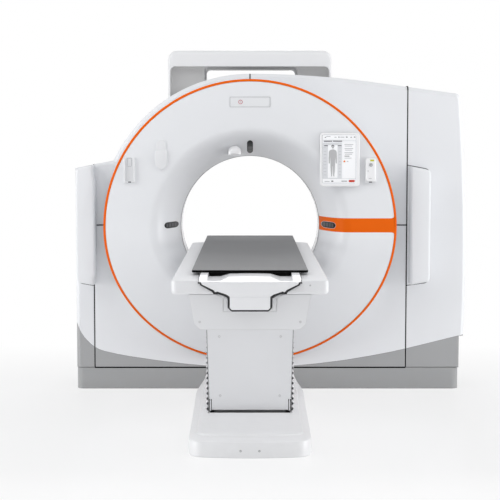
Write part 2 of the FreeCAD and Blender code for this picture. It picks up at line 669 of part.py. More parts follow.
# ---------------------------------------------------------------- panels round it
def gantry_outline(inset):
    """Silhouette of the gantry above the plinth, from the floor up."""
    meet_z = ISO_HEIGHT + math.sqrt(CROWN_RADIUS ** 2 - SHOULDER_MEET_X ** 2)
    top = ISO_HEIGHT + CROWN_RADIUS
    half_turn = math.radians(38)
    slope = math.asin(TOP_ARC_END_X / TOP_ARC_RADIUS)
    arc_end_z = top - TOP_ARC_RADIUS * (1 - math.cos(slope))
    arc_mid = (TOP_ARC_RADIUS * math.sin(slope / 2),
               top - TOP_ARC_RADIUS * (1 - math.cos(slope / 2)))
    corner_x = RIGHT_TOP_X - RIGHT_CORNER
    corner_z = arc_end_z - (corner_x - TOP_ARC_END_X) * math.tan(slope)
    side_z = corner_z - RIGHT_CORNER
    bend = RIGHT_CORNER * (1 - math.sqrt(0.5))
    wire = drawn([
        (LEFT_X, 0), (LEFT_X, LEFT_SHOULDER_Z), (SHOULDER_MEET_X, meet_z),
        (-CROWN_RADIUS * math.sin(half_turn), ISO_HEIGHT + CROWN_RADIUS * math.cos(half_turn),
         0, top),
        arc_mid + (TOP_ARC_END_X, arc_end_z),
        (corner_x, corner_z),
        (RIGHT_TOP_X - bend, corner_z - bend + 2, RIGHT_TOP_X, side_z),
        (RIGHT_MID_X, RIGHT_MID_Z, RIGHT_LOW_X, 0)])
    if inset:
        wire = wire.makeOffset2D(-inset)
    return wire


def housing(inset):
    """Body within the covers above the plinth, bevelled along its front and rear edges."""
    low = SURROUND_Y + inset
    high = REAR_Y - inset
    body = along_y(gantry_outline(inset), low, high)
    rims = []
    for edge in body.Edges:
        bounds = edge.BoundBox
        at_end = abs(bounds.YMin - low) < 0.01 or abs(bounds.YMax - high) < 0.01
        if bounds.YLength < 0.01 and at_end and bounds.ZMax > 1 + inset:
            rims.append(edge)
    return body.makeChamfer((EDGE_ROUND - inset) * BEVEL_SHARE, rims)


def right_side_cover(body, shell):
    """Right side panel, stepped in to the plinth's width below the white zone."""
    front = SURROUND_Y - SKIN
    rear = REAR_Y + SKIN
    far = RIGHT_MID_X + SKIN
    side = panel(shell, SEAM_RIGHT_X, far, front, rear, PLINTH_TOP, BRIDGE_TOP_Z)
    side = side.cut(box(PLINTH_RIGHT_X, far, front, rear, 0, ZONE_RIGHT_Z))
    wall = box(PLINTH_RIGHT_X - SKIN, PLINTH_RIGHT_X, front, rear, PLINTH_TOP,
               ZONE_RIGHT_Z + SKIN)
    ledge = box(PLINTH_RIGHT_X - SKIN, far, front, rear, ZONE_RIGHT_Z, ZONE_RIGHT_Z + SKIN)
    return one_solid(side.fuse(wall.fuse(ledge).common(body)))


def panel(shell, x0, x1, y0, y1, z0, z1):
    """The piece of a shell between seams, half a seam short on each side."""
    half = SEAM / 2
    return shell.common(box(x0 + half, x1 - half, y0 + half, y1 - half, z0 + half, z1 - half))


def plinth_cover():
    """Kick strip round the foot of the gantry."""
    def plan(inset):
        return rounded(LEFT_X + inset, PLINTH_RIGHT_X - inset, SURROUND_Y + inset,
                       REAR_Y - inset, PLINTH_CORNER - inset)
    top = PLINTH_TOP - SEAM / 2
    return one_solid(along_z(plan(0), 0, top).cut(along_z(plan(SKIN), -1, top + 1)))


def rear_cover(shell):
    """Rear panel with its own funnel to the liner."""
    def throat(extra):
        line = flare(REAR_MOUTH_RADIUS, REAR_Y, LINER_HALF, REAR_BULGE)
        return turned([(0, REAR_Y + 20), (REAR_MOUTH_RADIUS + extra, REAR_Y + 20)]
                      + [(radius + extra, y) for radius, y in line] + [(0, LINER_HALF)])
    sheet = panel(shell, SEAM_LEFT_X, SEAM_RIGHT_X, REAR_Y - REAR_BAND, REAR_Y + 10,
                  PLINTH_TOP, BRIDGE_TOP_Z)
    tube = throat(SKIN).common(box(-DISC_RADIUS, DISC_RADIUS, LINER_HALF, REAR_Y,
                                   PLINTH_TOP, BRIDGE_TOP_Z))
    return one_solid(sheet.fuse(tube).cut(throat(0)))


def bore_liner():
    """Thin ring of the bore between the two funnels."""
    half = LINER_HALF - SLIDE_GAP / 2
    return ring(BORE_RADIUS, BORE_RADIUS + LINER_WALL, -half, half)


# ---------------------------------------------------------------- inner frames
def gantry_base_frame():
    """Floor frame: foot plates with anchor holes, cross beam and outriggers."""
    rail_height = HOOP_FOOT
    plate_front = SURROUND_Y + 2 * SKIN + RAIL
    plate_rear = REAR_Y - 2 * SKIN - RAIL
    foot = box(ANCHOR_X - FOOT_INNER, ANCHOR_X + FOOT_OUTER, plate_front, plate_rear,
               0, BASE_PLATE)
    beam_half = ANCHOR_X + FOOT_INNER
    beam_front = FRAME_Y - RIB - SKIN
    beam_rear = FRAME_Y + FRAME_PLATE + RIB + SKIN
    beam = box(-beam_half, beam_half, beam_front, beam_rear, 0, BASE_HEIGHT)
    hollow = box(-beam_half - 1, beam_half + 1, beam_front + BASE_WALL, beam_rear - BASE_WALL,
                 BASE_PLATE, BASE_HEIGHT - BASE_WALL)
    web = box(-ANCHOR_X, ANCHOR_X, ANCHOR_FRONT_Y + BASE_PLATE, FRAME_Y, 0, BASE_PLATE)
    frame = foot.fuse(mirrored(foot)).fuse(beam).cut(hollow).fuse(web)
    for y in (SURROUND_Y + SKIN + 1, REAR_Y - SKIN - 1 - RAIL):
        frame = frame.fuse(box(LEFT_X + PLINTH_CORNER, PLINTH_RIGHT_X - PLINTH_CORNER,
                               y, y + RAIL, 0, rail_height))
    for x in (ANCHOR_X - FOOT_INNER, ANCHOR_X + FOOT_OUTER - RAIL,
              FOOT_INNER - ANCHOR_X - RAIL, -ANCHOR_X - FOOT_OUTER):
        frame = frame.fuse(box(x, x + BASE_PLATE, SURROUND_Y + BASE_PLATE, REAR_Y - BASE_PLATE,
                               0, rail_height))
    for x in (ANCHOR_X, -ANCHOR_X):
        for y in (ANCHOR_FRONT_Y, ANCHOR_REAR_Y):
            frame = frame.cut(rod((x, y, -1), (x, y, BASE_PLATE + 1), ANCHOR_HOLE / 2))
    return one_solid(frame)


def casting_outline(reach):
    """A many-sided outline about the bore axis."""
    points = []
    for step in range(CASTING_SIDES):
        angle = math.radians((step + 0.5) * 360.0 / CASTING_SIDES)
        points.append((reach * math.sin(angle), ISO_HEIGHT + reach * math.cos(angle)))
    return drawn(points)


def stator_frame():
    """Plate ring on two legs that carries the bearing, with ribs to the floor frame."""
    rear = FRAME_Y + FRAME_PLATE
    top = along_y(casting_outline(FRAME_OUTER), FRAME_Y, rear)
    leg_inner = ANCHOR_X - FOOT_INNER + BASE_PLATE
    side = along_y(drawn([
        (FRAME_OUTER - BASE_WALL, ISO_HEIGHT + FRAME_PLATE),
        (OUTER_RACE * 0.65, ISO_HEIGHT - OUTER_RACE * 0.9),
        (leg_inner, BASE_HEIGHT), (ANCHOR_X + FOOT_OUTER, BASE_HEIGHT)]), FRAME_Y, rear)
    for face_y, out_y in ((FRAME_Y, FRAME_Y - RIB), (rear, rear + RIB)):
        side = side.fuse(along_x(drawn([
            (face_y, BASE_HEIGHT), (out_y, BASE_HEIGHT), (out_y, BASE_HEIGHT + HOOP_FOOT),
            (face_y, BASE_HEIGHT + RIB_RISE)]), ANCHOR_X - 2 * RIB, ANCHOR_X - RIB))
    frame = top.fuse(side).fuse(mirrored(side))
    return one_solid(frame.cut(ring(0.0, OUTER_RACE, FRAME_Y - 1, rear + 1)))


def cover_frame():
    """Tube frame that the covers hang on: two hoops, seam posts, a ring and side ties."""
    inside = housing(SKIN)
    right_x = PLINTH_RIGHT_X - SKIN
    ledge_z = ZONE_RIGHT_Z + SKIN
    low_inside = box(LEFT_X + SKIN, right_x, SURROUND_Y, REAR_Y, 0, PLINTH_TOP + RAIL)
    frame = None
    for y in (HOOP_Y, REAR_Y - REAR_BAND):
        hoop = along_y(gantry_outline(SKIN), y - RAIL / 2, y + RAIL / 2)
        hoop = hoop.cut(along_y(gantry_outline(SKIN + RAIL), y - RAIL, y + RAIL))
        low = hoop.common(low_inside)
        hoop = hoop.cut(box(2 * LEFT_X, 2 * RIGHT_MID_X, y - RAIL, y + RAIL,
                            -1, PLINTH_TOP + RAIL))
        low = low.cut(box(2 * LEFT_X, 2 * RIGHT_MID_X, y - RAIL, y + RAIL, -1, HOOP_FOOT))
        hoop = hoop.fuse(low).cut(box(right_x, 2 * RIGHT_MID_X, y - RAIL, y + RAIL,
                                      -1, ledge_z))
        hoop = hoop.fuse(box(right_x - RAIL, right_x, y - RAIL / 2, y + RAIL / 2,
                             HOOP_FOOT, ledge_z + RAIL))
        frame = hoop if frame is None else frame.fuse(hoop)
    for x in (SEAM_LEFT_X, SEAM_RIGHT_X):
        for y0, y1 in ((SURROUND_Y + SKIN, HOOP_Y), (REAR_Y - REAR_BAND, REAR_Y - SKIN)):
            post = box(x - RAIL / 2, x + RAIL / 2, y0, y1, HOOP_FOOT, BRIDGE_TOP_Z)
            frame = frame.fuse(post.common(inside))
        for z in (PLINTH_TOP - RAIL / 2, SEAM_LEVEL_Z - RAIL / 2):
            tie = box(x - RAIL / 2, x + RAIL / 2, HOOP_Y, REAR_Y - REAR_BAND, z, z + RAIL)
            frame = frame.fuse(tie)
    for y in (SURROUND_Y + SKIN, REAR_Y - SKIN - RAIL):
        frame = frame.fuse(box(LEFT_X + PLINTH_CORNER, PLINTH_RIGHT_X - PLINTH_CORNER,
                               y, y + RAIL, PLINTH_TOP - RAIL / 2, PLINTH_TOP + RAIL / 2))
    for x0, x1 in ((SEAM_LEFT_X, SEAM - DISC_RADIUS - RAIL / 2),
                   (DISC_RADIUS + RAIL / 2 - SEAM, SEAM_RIGHT_X)):
        frame = frame.fuse(box(x0, x1, SURROUND_Y + SKIN, SURROUND_Y + SKIN + RAIL,
                               SEAM_LEVEL_Z - RAIL / 2, SEAM_LEVEL_Z + RAIL / 2))
    halo_reach = CROWN_RADIUS - EDGE_ROUND - DISC_RADIUS - SEAM
    halo = disc(-halo_reach, SURROUND_Y + SKIN, SURROUND_Y + SKIN + RAIL)
    halo = halo.cut(disc(RAIL / 2, SURROUND_Y, SURROUND_Y + 2 * RAIL))
    halo = halo.cut(disc(-SEAM, SURROUND_Y, SURROUND_Y + RIM_BACK))
    return one_solid(frame.fuse(halo))


def bearing_outer_race():
    """Fixed race of the main bearing, with a grooved track."""
    middle = FRAME_Y + FRAME_PLATE / 2
    inner = RACE_SPLIT + RACE_GAP
    track = RACE_TRACK
    return turned([
        (inner, FRAME_Y), (OUTER_RACE, FRAME_Y), (OUTER_RACE, FRAME_Y + FRAME_PLATE),
        (inner, FRAME_Y + FRAME_PLATE), (inner, middle + track), (inner + track, middle),
        (inner, middle - track)])


def bearing_inner_race():
    """Turning race of the main bearing, on the hub, with a grooved track."""
    middle = FRAME_Y + FRAME_PLATE / 2
    outer = RACE_SPLIT
    track = RACE_TRACK
    return turned([
        (HUB_OUTER, FRAME_Y), (outer, FRAME_Y), (outer, middle - track),
        (outer - track, middle), (outer, middle + track), (outer, FRAME_Y + FRAME_PLATE),
        (HUB_OUTER, FRAME_Y + FRAME_PLATE)])


def ring_motor_stator():
    """Coil ring of the direct drive, on the stator plate."""
    return ring(MAGNET_OUTER + MOTOR_GAP, COIL_OUTER, FRAME_Y - MOTOR_DEPTH, FRAME_Y)


def rotor_drum():
    """Turning drum: plate, rim, hub and balance weights."""
    back = DRUM_FRONT_Y + DRUM_PLATE
    hub_end = FRAME_Y + FRAME_PLATE + SLIP_GAP + SLIP_DEPTH
    rim = DRUM_OUTER - DRUM_RIM
    drum = turned([
        (HUB_INNER, DRUM_FRONT_Y), (rim, DRUM_FRONT_Y), (rim, DRUM_FRONT_Y - DRUM_RIM_DEPTH),
        (DRUM_OUTER, DRUM_FRONT_Y - DRUM_RIM_DEPTH), (DRUM_OUTER, back), (HUB_OUTER, back),
        (HUB_OUTER, hub_end), (HUB_INNER, hub_end)])
    window_r = WEIGHT_HEIGHT / 3
    window_z = ISO_HEIGHT + DRUM_OUTER - 2 * window_r
    window = rod((0, DRUM_FRONT_Y - 1, window_z), (0, back + 1, window_z), window_r)
    for angle in (-112, -82, 82, 112):
        drum = drum.cut(about_bore(window, angle))
    weight = box(-WEIGHT_HEIGHT / 2, WEIGHT_HEIGHT / 2, DRUM_FRONT_Y - WEIGHT_HEIGHT / 2,
                 DRUM_FRONT_Y, ISO_HEIGHT + rim - WEIGHT_HEIGHT, ISO_HEIGHT + rim - DRUM_RIM / 2)
    for angle in (-128, 128):
        drum = drum.fuse(about_bore(weight, angle))
    return one_solid(drum)


def ring_motor_magnets():
    """Magnet ring of the direct drive, on the back of the drum."""
    back = DRUM_FRONT_Y + DRUM_PLATE
    return ring(MAGNET_INNER, MAGNET_OUTER, back, back + MOTOR_DEPTH)


def slip_ring():
    """Slip ring behind the bearing, with a wide conductor groove."""
    start = FRAME_Y + FRAME_PLATE + SLIP_GAP
    end = start + SLIP_DEPTH
    return turned([
        (HUB_OUTER, start), (MAGNET_INNER, start), (MAGNET_INNER, end),
        (MAGNET_INNER - SLIP_EDGE, end), (MAGNET_INNER - SLIP_EDGE, end - SLIP_GROOVE),
        (HUB_OUTER + SLIP_EDGE, end - SLIP_GROOVE), (HUB_OUTER + SLIP_EDGE, end),
        (HUB_OUTER, end)])


def x_ray_tube():
    """Tube housing with its end bell, port, mounting flange and cable inlet."""
    z = ISO_HEIGHT + TUBE_OFFSET
    front = DRUM_FRONT_Y - TUBE_LENGTH
    shoulder = front + TUBE_FLANGE
    body = rod((0, shoulder, z), (0, DRUM_FRONT_Y - TUBE_FLANGE, z), TUBE_RADIUS)
    bell = Part.makeCone(TUBE_RADIUS * 0.65, TUBE_RADIUS, TUBE_FLANGE, V(0, front, z), V(0, 1, 0))
    flange = rod((0, DRUM_FRONT_Y - TUBE_FLANGE, z), (0, DRUM_FRONT_Y, z),
                 TUBE_RADIUS + TUBE_FLANGE)
    port = box(-TUBE_RADIUS * 0.43, TUBE_RADIUS * 0.43, -TUBE_RADIUS * 0.37, TUBE_RADIUS * 0.37,
               z - TUBE_RADIUS - PORT_DEPTH, z)
    inlet = rod((0, front + 3 * TUBE_FLANGE, z),
                (TUBE_RADIUS * 0.8, front + 3 * TUBE_FLANGE, z + TUBE_RADIUS * 0.95), RIB)
    return one_solid(body.fuse([bell, flange, port, inlet]))


def collimator():
    """Beam shaper below the tube, with its slot."""
    high = ISO_HEIGHT + TUBE_OFFSET - TUBE_RADIUS - PORT_DEPTH
    low = ISO_HEIGHT + HUB_OUTER
    half = COLLIMATOR_HALF
    rear = DRUM_FRONT_Y - TUBE_FLANGE - SEAM
    body = along_y(drawn([(-half, low), (half, low), (half * 0.7, high), (-half * 0.7, high)]),
                   -DRUM_FRONT_Y, rear)
    slot = box(-half * 0.56, half * 0.56, -half * 0.15, half * 0.15, low - 1, high + 1)
    return one_solid(body.cut(slot))


def detector_arc():
    """Detector array on an arc about the focal spot, with cooling fins."""
    focus_z = ISO_HEIGHT + FOCUS_OFFSET

    def point(radius, degrees):
        angle = math.radians(degrees)
        return (radius * math.sin(angle), focus_z - radius * math.cos(angle))

    inner = DETECTOR_DISTANCE
    outer = inner + DETECTOR_DEPTH
    half = DETECTOR_HALF_ANGLE
    wire = drawn([
        point(inner, -half), point(inner, 0) + point(inner, half),
        point(outer, half), point(outer, 0) + point(outer, -half)])
    body = along_y(wire, -DRUM_FRONT_Y, DRUM_FRONT_Y)
    face = drawn([
        point(inner - SKIN, 1 - half), point(inner - SKIN, 0) + point(inner - SKIN, half - 1),
        point(inner + 2 * SKIN, half - 1), point(inner + 2 * SKIN, 0) + point(inner + 2 * SKIN,
                                                                              1 - half)])
    body = body.cut(along_y(face, -DETECTOR_DEPTH / 4, DETECTOR_DEPTH / 4))
    spread = 2 * half - 6.0
    for step in range(DETECTOR_FINS):
        angle = spread * (step / (DETECTOR_FINS - 1) - 0.5)
        fin_gap = box(-RIB / 2, RIB / 2, -DRUM_FRONT_Y - 1, DRUM_FRONT_Y - RIB,
                      focus_z - outer - SKIN, focus_z - outer + DETECTOR_DEPTH / 3)
        fin_gap.rotate(V(0, 0, focus_z), V(0, 1, 0), -angle)
        body = body.cut(fin_gap)
    return one_solid(body)


def generator(side, middle):
    """High voltage unit on the drum, with cooling ribs on its front."""
    x0 = HUB_OUTER + FRAME_PLATE
    low = ISO_HEIGHT + middle - UNIT_HEIGHT / 2
    front = DRUM_FRONT_Y - UNIT_DEPTH
    body = box(x0, x0 + UNIT_WIDTH, front, DRUM_FRONT_Y, low, low + UNIT_HEIGHT)
    body = body.makeChamfer(UNIT_EDGE, [edge for edge in body.Edges
                                        if edge.BoundBox.YLength > UNIT_DEPTH / 2])
    pitch = UNIT_WIDTH / (UNIT_RIBS + 1)
    for step in range(UNIT_RIBS):
        x = x0 + pitch * (step + 0.75)
        body = body.cut(box(x, x + pitch / 2, front - 1, front + UNIT_EDGE,
                            low + 2 * UNIT_EDGE, low + UNIT_HEIGHT - 2 * UNIT_EDGE))
    return one_solid(body if side > 0 else mirrored(body))


def cooler():
    """Heat exchanger with two fan openings."""
    half = UNIT_WIDTH * 0.575
    low = ISO_HEIGHT + HUB_INNER + 85
    front = DRUM_FRONT_Y - UNIT_DEPTH
    body = box(-half, half, front, DRUM_FRONT_Y, low, low + UNIT_DEPTH)
    body = body.makeChamfer(UNIT_EDGE, [edge for edge in body.Edges
                                        if edge.BoundBox.YLength > UNIT_DEPTH / 2])
    z = low + UNIT_DEPTH / 2
    for x in (-half / 2, half / 2):
        body = body.cut(rod((x, front - 1, z), (x, front + DRUM_PLATE, z), half * 0.4))
        body = body.fuse(rod((x, front + SKIN, z), (x, front + DRUM_PLATE + 1, z), half * 0.13))
    return one_solid(about_bore(body, 48))


# ---------------------------------------------------------------- laser housings
def bridge_section(inset):
    """Front outline of the bridge: an arch with round shoulders, down to the gantry."""
    radius = BRIDGE_ROUND - inset
    bend = radius * (1 - math.sqrt(0.5))
    x0 = BRIDGE_LEFT_X + inset
    x1 = BRIDGE_RIGHT_X - inset
    top = BRIDGE_TOP_Z - inset
    return drawn([
        (x0, ISO_HEIGHT + BORE_RADIUS), (x1, ISO_HEIGHT + BORE_RADIUS), (x1, top - radius),
        (x1 - bend, top - bend, x1 - radius, top),
        (x0 + radius, top), (x0 + bend, top - bend, x0, top - radius)])


def top_bridge():
    """Arch over the gantry that hides the overhead laser, with its slit and rail."""
    wall = BRIDGE_WALL
    foot_z = ISO_HEIGHT + BORE_RADIUS
    body = along_y(bridge_section(0), BRIDGE_FRONT_Y, BRIDGE_REAR_Y)
    rims = [edge for edge in body.Edges
            if edge.BoundBox.YLength < 0.01 and edge.BoundBox.ZMax > foot_z + 1]
    body = body.makeChamfer(BRIDGE_EDGE, rims)
    opening = rounded(BRIDGE_OPEN_LEFT, BRIDGE_OPEN_RIGHT, foot_z, BRIDGE_BAR_Z,
                      BRIDGE_OPEN_ROUND)
    body = body.cut(along_y(opening, BRIDGE_FRONT_Y - 10, BRIDGE_REAR_Y + 10))
    left = BRIDGE_LEFT_X + BRIDGE_BAND
    right = BRIDGE_RIGHT_X - BRIDGE_BAND
    body = body.cut(box(left, right, BRIDGE_FRONT_Y + wall, BRIDGE_REAR_Y - wall,
                        BRIDGE_BAR_Z + wall, BRIDGE_TOP_Z - wall))
    web_y = BRIDGE_FRONT_Y + BRIDGE_RECESS
    for x0, x1 in ((left, BRIDGE_OPEN_LEFT - wall), (BRIDGE_OPEN_RIGHT + wall, right)):
        body = body.cut(box(x0, x1, web_y + wall, BRIDGE_REAR_Y - wall, foot_z, BRIDGE_BAR_Z))
        body = body.cut(box(x0, x1, BRIDGE_FRONT_Y - 5, web_y, foot_z, BRIDGE_BAR_Z))
    for x0, x1 in ((BRIDGE_LEFT_X + wall, left + 1), (right - 1, BRIDGE_RIGHT_X - wall)):
        body = body.cut(box(x0, x1, web_y + wall, BRIDGE_REAR_Y - wall, foot_z, BRIDGE_BAR_Z))
    body = body.cut(box(BRIDGE_OPEN_LEFT + RAIL, BRIDGE_OPEN_RIGHT - RAIL,
                        BRIDGE_SLIT_Y - SLIT / 2, BRIDGE_SLIT_Y + SLIT / 2,
                        BRIDGE_BAR_Z - 1, BRIDGE_BAR_Z + wall + 1))
    body = body.fuse(box(left - 1, right + 1, BRIDGE_SLIT_Y - LASER_RAIL_HALF,
                         BRIDGE_SLIT_Y + LASER_RAIL_HALF, BRIDGE_TOP_Z - wall - LASER_RAIL,
                         BRIDGE_TOP_Z - wall / 2))
    return one_solid(body.cut(along_y(gantry_outline(0), SURROUND_Y, REAR_Y)))


def shoe():
    """A laser module on its shoe: rail groove towards +Z, lens towards -Z, along X."""
    half = CARRIAGE / 2
    grip = LASER_RAIL / 2
    block = box(-half, half, -CARRIAGE_HALF, CARRIAGE_HALF, -CARRIAGE_DEPTH, grip)
    groove = box(-CARRIAGE, CARRIAGE, -LASER_RAIL_HALF - SLIDE_GAP, LASER_RAIL_HALF + SLIDE_GAP,
                 -grip, grip + 1)
    module = rod((0, 0, -CARRIAGE_DEPTH), (0, 0, -CARRIAGE_DEPTH - MODULE_LENGTH), MODULE_RADIUS)
    return one_solid(block.cut(groove).fuse(module))


def top_carriage():
    """Laser module that runs along the bridge."""
    piece = shoe()
    rail_low = BRIDGE_TOP_Z - BRIDGE_WALL - LASER_RAIL
    piece.translate(V(0, BRIDGE_SLIT_Y, rail_low - SLIDE_GAP + LASER_RAIL / 2))
    return piece


def tower_profile(inset, limits, outer_side):
    """Front outline of a tower: a sloped top and a bevelled foot."""
    x0 = limits[0] + inset
    x1 = limits[1] - inset
    low = TOWER_LOW + inset
    high = TOWER_HIGH - inset
    bevel = TOWER_BEVEL
    if outer_side > 0:
        return drawn([
            (x0 + bevel, low), (x1, low + bevel * 0.67), (x1, high - TOWER_SLOPE),
            (x0, high), (x0, low + bevel)])
    return drawn([
        (x0, low + bevel / 2), (x1 - bevel, low), (x1, low + bevel),
        (x1, high), (x0 + TOWER_SLOPE / 2, high), (x0, high - TOWER_SLOPE / 2)])


def tower(limits, outer_side):
    """Upright laser housing with a slit towards the bore and a rail inside."""
    wall = TOWER_WALL
    front = SURROUND_Y - TOWER_DEPTH
    body = along_y(tower_profile(0, limits, outer_side), front, SURROUND_Y)
    body = soften(body, TOWER_ROUND, lambda edge: abs(edge.BoundBox.YMax - front) < 0.01)
    void = along_y(tower_profile(wall, limits, outer_side), front + wall, SURROUND_Y + 5)
    edges = [edge for edge in void.Edges if abs(edge.BoundBox.YMax - front - wall) < 0.01]
    body = body.cut(void.makeChamfer((TOWER_ROUND - wall) * BEVEL_SHARE, edges))
    middle_y = SURROUND_Y - TOWER_DEPTH / 2
    inner_x = limits[0] if outer_side > 0 else limits[1]
    body = body.cut(box(inner_x - 2 * wall, inner_x + 2 * wall, middle_y - SLIT / 2,
                        middle_y + SLIT / 2, TOWER_LOW + SLIT_END, TOWER_HIGH - SLIT_END))
    outer_x = limits[1] if outer_side > 0 else limits[0]
    rail_x0 = outer_x - outer_side * (wall + LASER_RAIL)
    rail_x1 = outer_x - outer_side * wall / 2
    rail = box(min(rail_x0, rail_x1), max(rail_x0, rail_x1), middle_y - LASER_RAIL_HALF,
               middle_y + LASER_RAIL_HALF, TOWER_LOW + SLIT_END / 2, TOWER_HIGH - SLIT_END / 2)
    return one_solid(body.fuse(rail))


def tower_carriage(limits, outer_side):
    """Laser module that runs up and down a tower."""
    piece = shoe()
    piece.rotate(V(0, 0, 0), V(0, 1, 0), 90 * outer_side)
    outer_x = limits[1] if outer_side > 0 else limits[0]
    rail_face = outer_x - outer_side * (TOWER_WALL + LASER_RAIL)
    piece.translate(V(rail_face + outer_side * (LASER_RAIL / 2 - SLIDE_GAP),
                      SURROUND_Y - TOWER_DEPTH / 2, ISO_HEIGHT))
    return piece


# ---------------------------------------------------------------- patient table
def cradle_underside(grow):
    """Right half of the cradle's underside from the top edge to the keel, as points."""
    return [
        (CRADLE_HALF + grow, CRADLE_TOP_Z), (CRADLE_SHOULDER + grow, CRADLE_SHOULDER_Z - grow / 2),
        (CRADLE_HAUNCH + grow, CRADLE_HAUNCH_Z - grow), (CRADLE_BEAD + grow, CRADLE_BEAD_Z - grow),
        (2 * CRADLE_BEAD - CRADLE_HAUNCH + grow, CRADLE_BEAD_Z + BEAD_RISE - grow),
        (KEEL_HAUNCH + grow, KEEL_HAUNCH_Z - grow),
        (KEEL_HALF + grow, 2 * KEEL_HAUNCH_Z - CRADLE_BEAD_Z - grow),
        (KEEL_HALF + grow, KEEL_BOTTOM_Z + KEEL_HALF - KEEL_FOOT), (KEEL_FOOT, KEEL_BOTTOM_Z - grow)]


def both_sides(points):
    """A right half outline, top first, closed by its mirrored left half."""
    return points + [(-x, z) for x, z in reversed(points)]


def tabletop_cradle():
    """Long carbon cradle with a dished top, a land at each side and a keel below."""
    near = TABLE_NEAR_Y + CAP_LENGTH
    land = PLATE_TOP_Z - PLATE_THICK
    path = both_sides(cradle_underside(0)) + [
        (-LAND_OUTER, land), (-LAND_INNER, land), (-LAND_INNER, CRADLE_TOP_Z),
        (0, CRADLE_TOP_Z - CRADLE_DISH, LAND_INNER, CRADLE_TOP_Z),
        (LAND_INNER, land), (LAND_OUTER, land)]
    body = along_y(drawn(path), near, PLATE_FAR_Y)
    wall = 2 * SHEET
    core = along_y(drawn(both_sides([
        (KEEL_HALF - wall, KEEL_HAUNCH_Z), (KEEL_HALF - wall, KEEL_BOTTOM_Z + 2 * wall),
        (KEEL_FOOT - wall / 2, KEEL_BOTTOM_Z + wall)])), near + wall, PLATE_FAR_Y - wall)
    return one_solid(body.cut(core))


def hump():
    """Top of the end cap between its lands, from left to right, as points."""
    shoulder = CRADLE_TOP_Z - CAP_SHOULDER
    crown = CRADLE_TOP_Z + CAP_CROWN
    brow = crown - GASKET / 4
    return [
        (-HUMP_FOOT, shoulder), (-HUMP_TOP, brow), (0, crown, HUMP_TOP, brow),
        (HUMP_FOOT, shoulder)]


def above_ramp():
    """The space over the cap's top, which climbs from its front edge to the lands."""
    near = TABLE_NEAR_Y
    front = CRADLE_TOP_Z - CAP_FRONT_DROP
    high = PLATE_TOP_Z + 1
    land = PLATE_TOP_Z - PLATE_THICK
    return along_x(drawn([
        (near - 1, front), (near + CAP_LIP, front), (near + CAP_RAMP, land),
        (near + CAP_RAMP, high), (near - 1, high)]), -WING_HALF, WING_HALF)


def cradle_end_cap():
    """Moulded foot end of the tabletop, inside its rubber edge."""
    lip_y = TABLE_NEAR_Y + CAP_LIP
    land = PLATE_TOP_Z - PLATE_THICK
    shoulder = CRADLE_TOP_Z - CAP_SHOULDER
    front = along_y(drawn(both_sides(cradle_underside(-GASKET))), TABLE_NEAR_Y, lip_y)
    path = both_sides(cradle_underside(0)) + [
        (-LAND_OUTER, land), (-LAND_INNER, land), (-LAND_INNER, shoulder)]
    path += hump() + [(LAND_INNER, shoulder), (LAND_INNER, land), (LAND_OUTER, land)]
    rear = along_y(drawn(path), lip_y, TABLE_NEAR_Y + CAP_LENGTH)
    return one_solid(front.fuse(rear).cut(above_ramp()))


def cradle_gasket():
    """Black rubber edge round the sides and underside of the foot end."""
    lip_y = TABLE_NEAR_Y + CAP_LIP
    edge = along_y(drawn(both_sides(cradle_underside(0))), TABLE_NEAR_Y, lip_y)
    inner = along_y(drawn(both_sides(cradle_underside(-GASKET))), TABLE_NEAR_Y - 1, lip_y + 1)
    return one_solid(edge.cut(inner).cut(above_ramp()))


def overlay_plate():
    """Flat tabletop laid on the cradle's lands."""
    plan = rounded(-PLATE_HALF, PLATE_HALF, PLATE_NEAR_Y, PLATE_FAR_Y, PLATE_CORNER)
    return one_solid(along_z(plan, PLATE_TOP_Z - PLATE_THICK, PLATE_TOP_Z))


def overlay_spacer():
    """Dark block between the flat tabletop and the cradle's foot end."""
    bottom = PLATE_TOP_Z - PLATE_THICK
    low = CRADLE_TOP_Z - CAP_SHOULDER
    near = PLATE_NEAR_Y + SPACER_INSET
    bevel = SPACER_BEVEL
    path = [(-SPACER_HALF, bottom), (-SPACER_HALF, low + bevel), (bevel - SPACER_HALF, low)]
    path += hump() + [(SPACER_HALF - bevel, low), (SPACER_HALF, low + bevel),
                      (SPACER_HALF, bottom)]
    return along_y(drawn(path), near, near + SPACER_DEPTH)


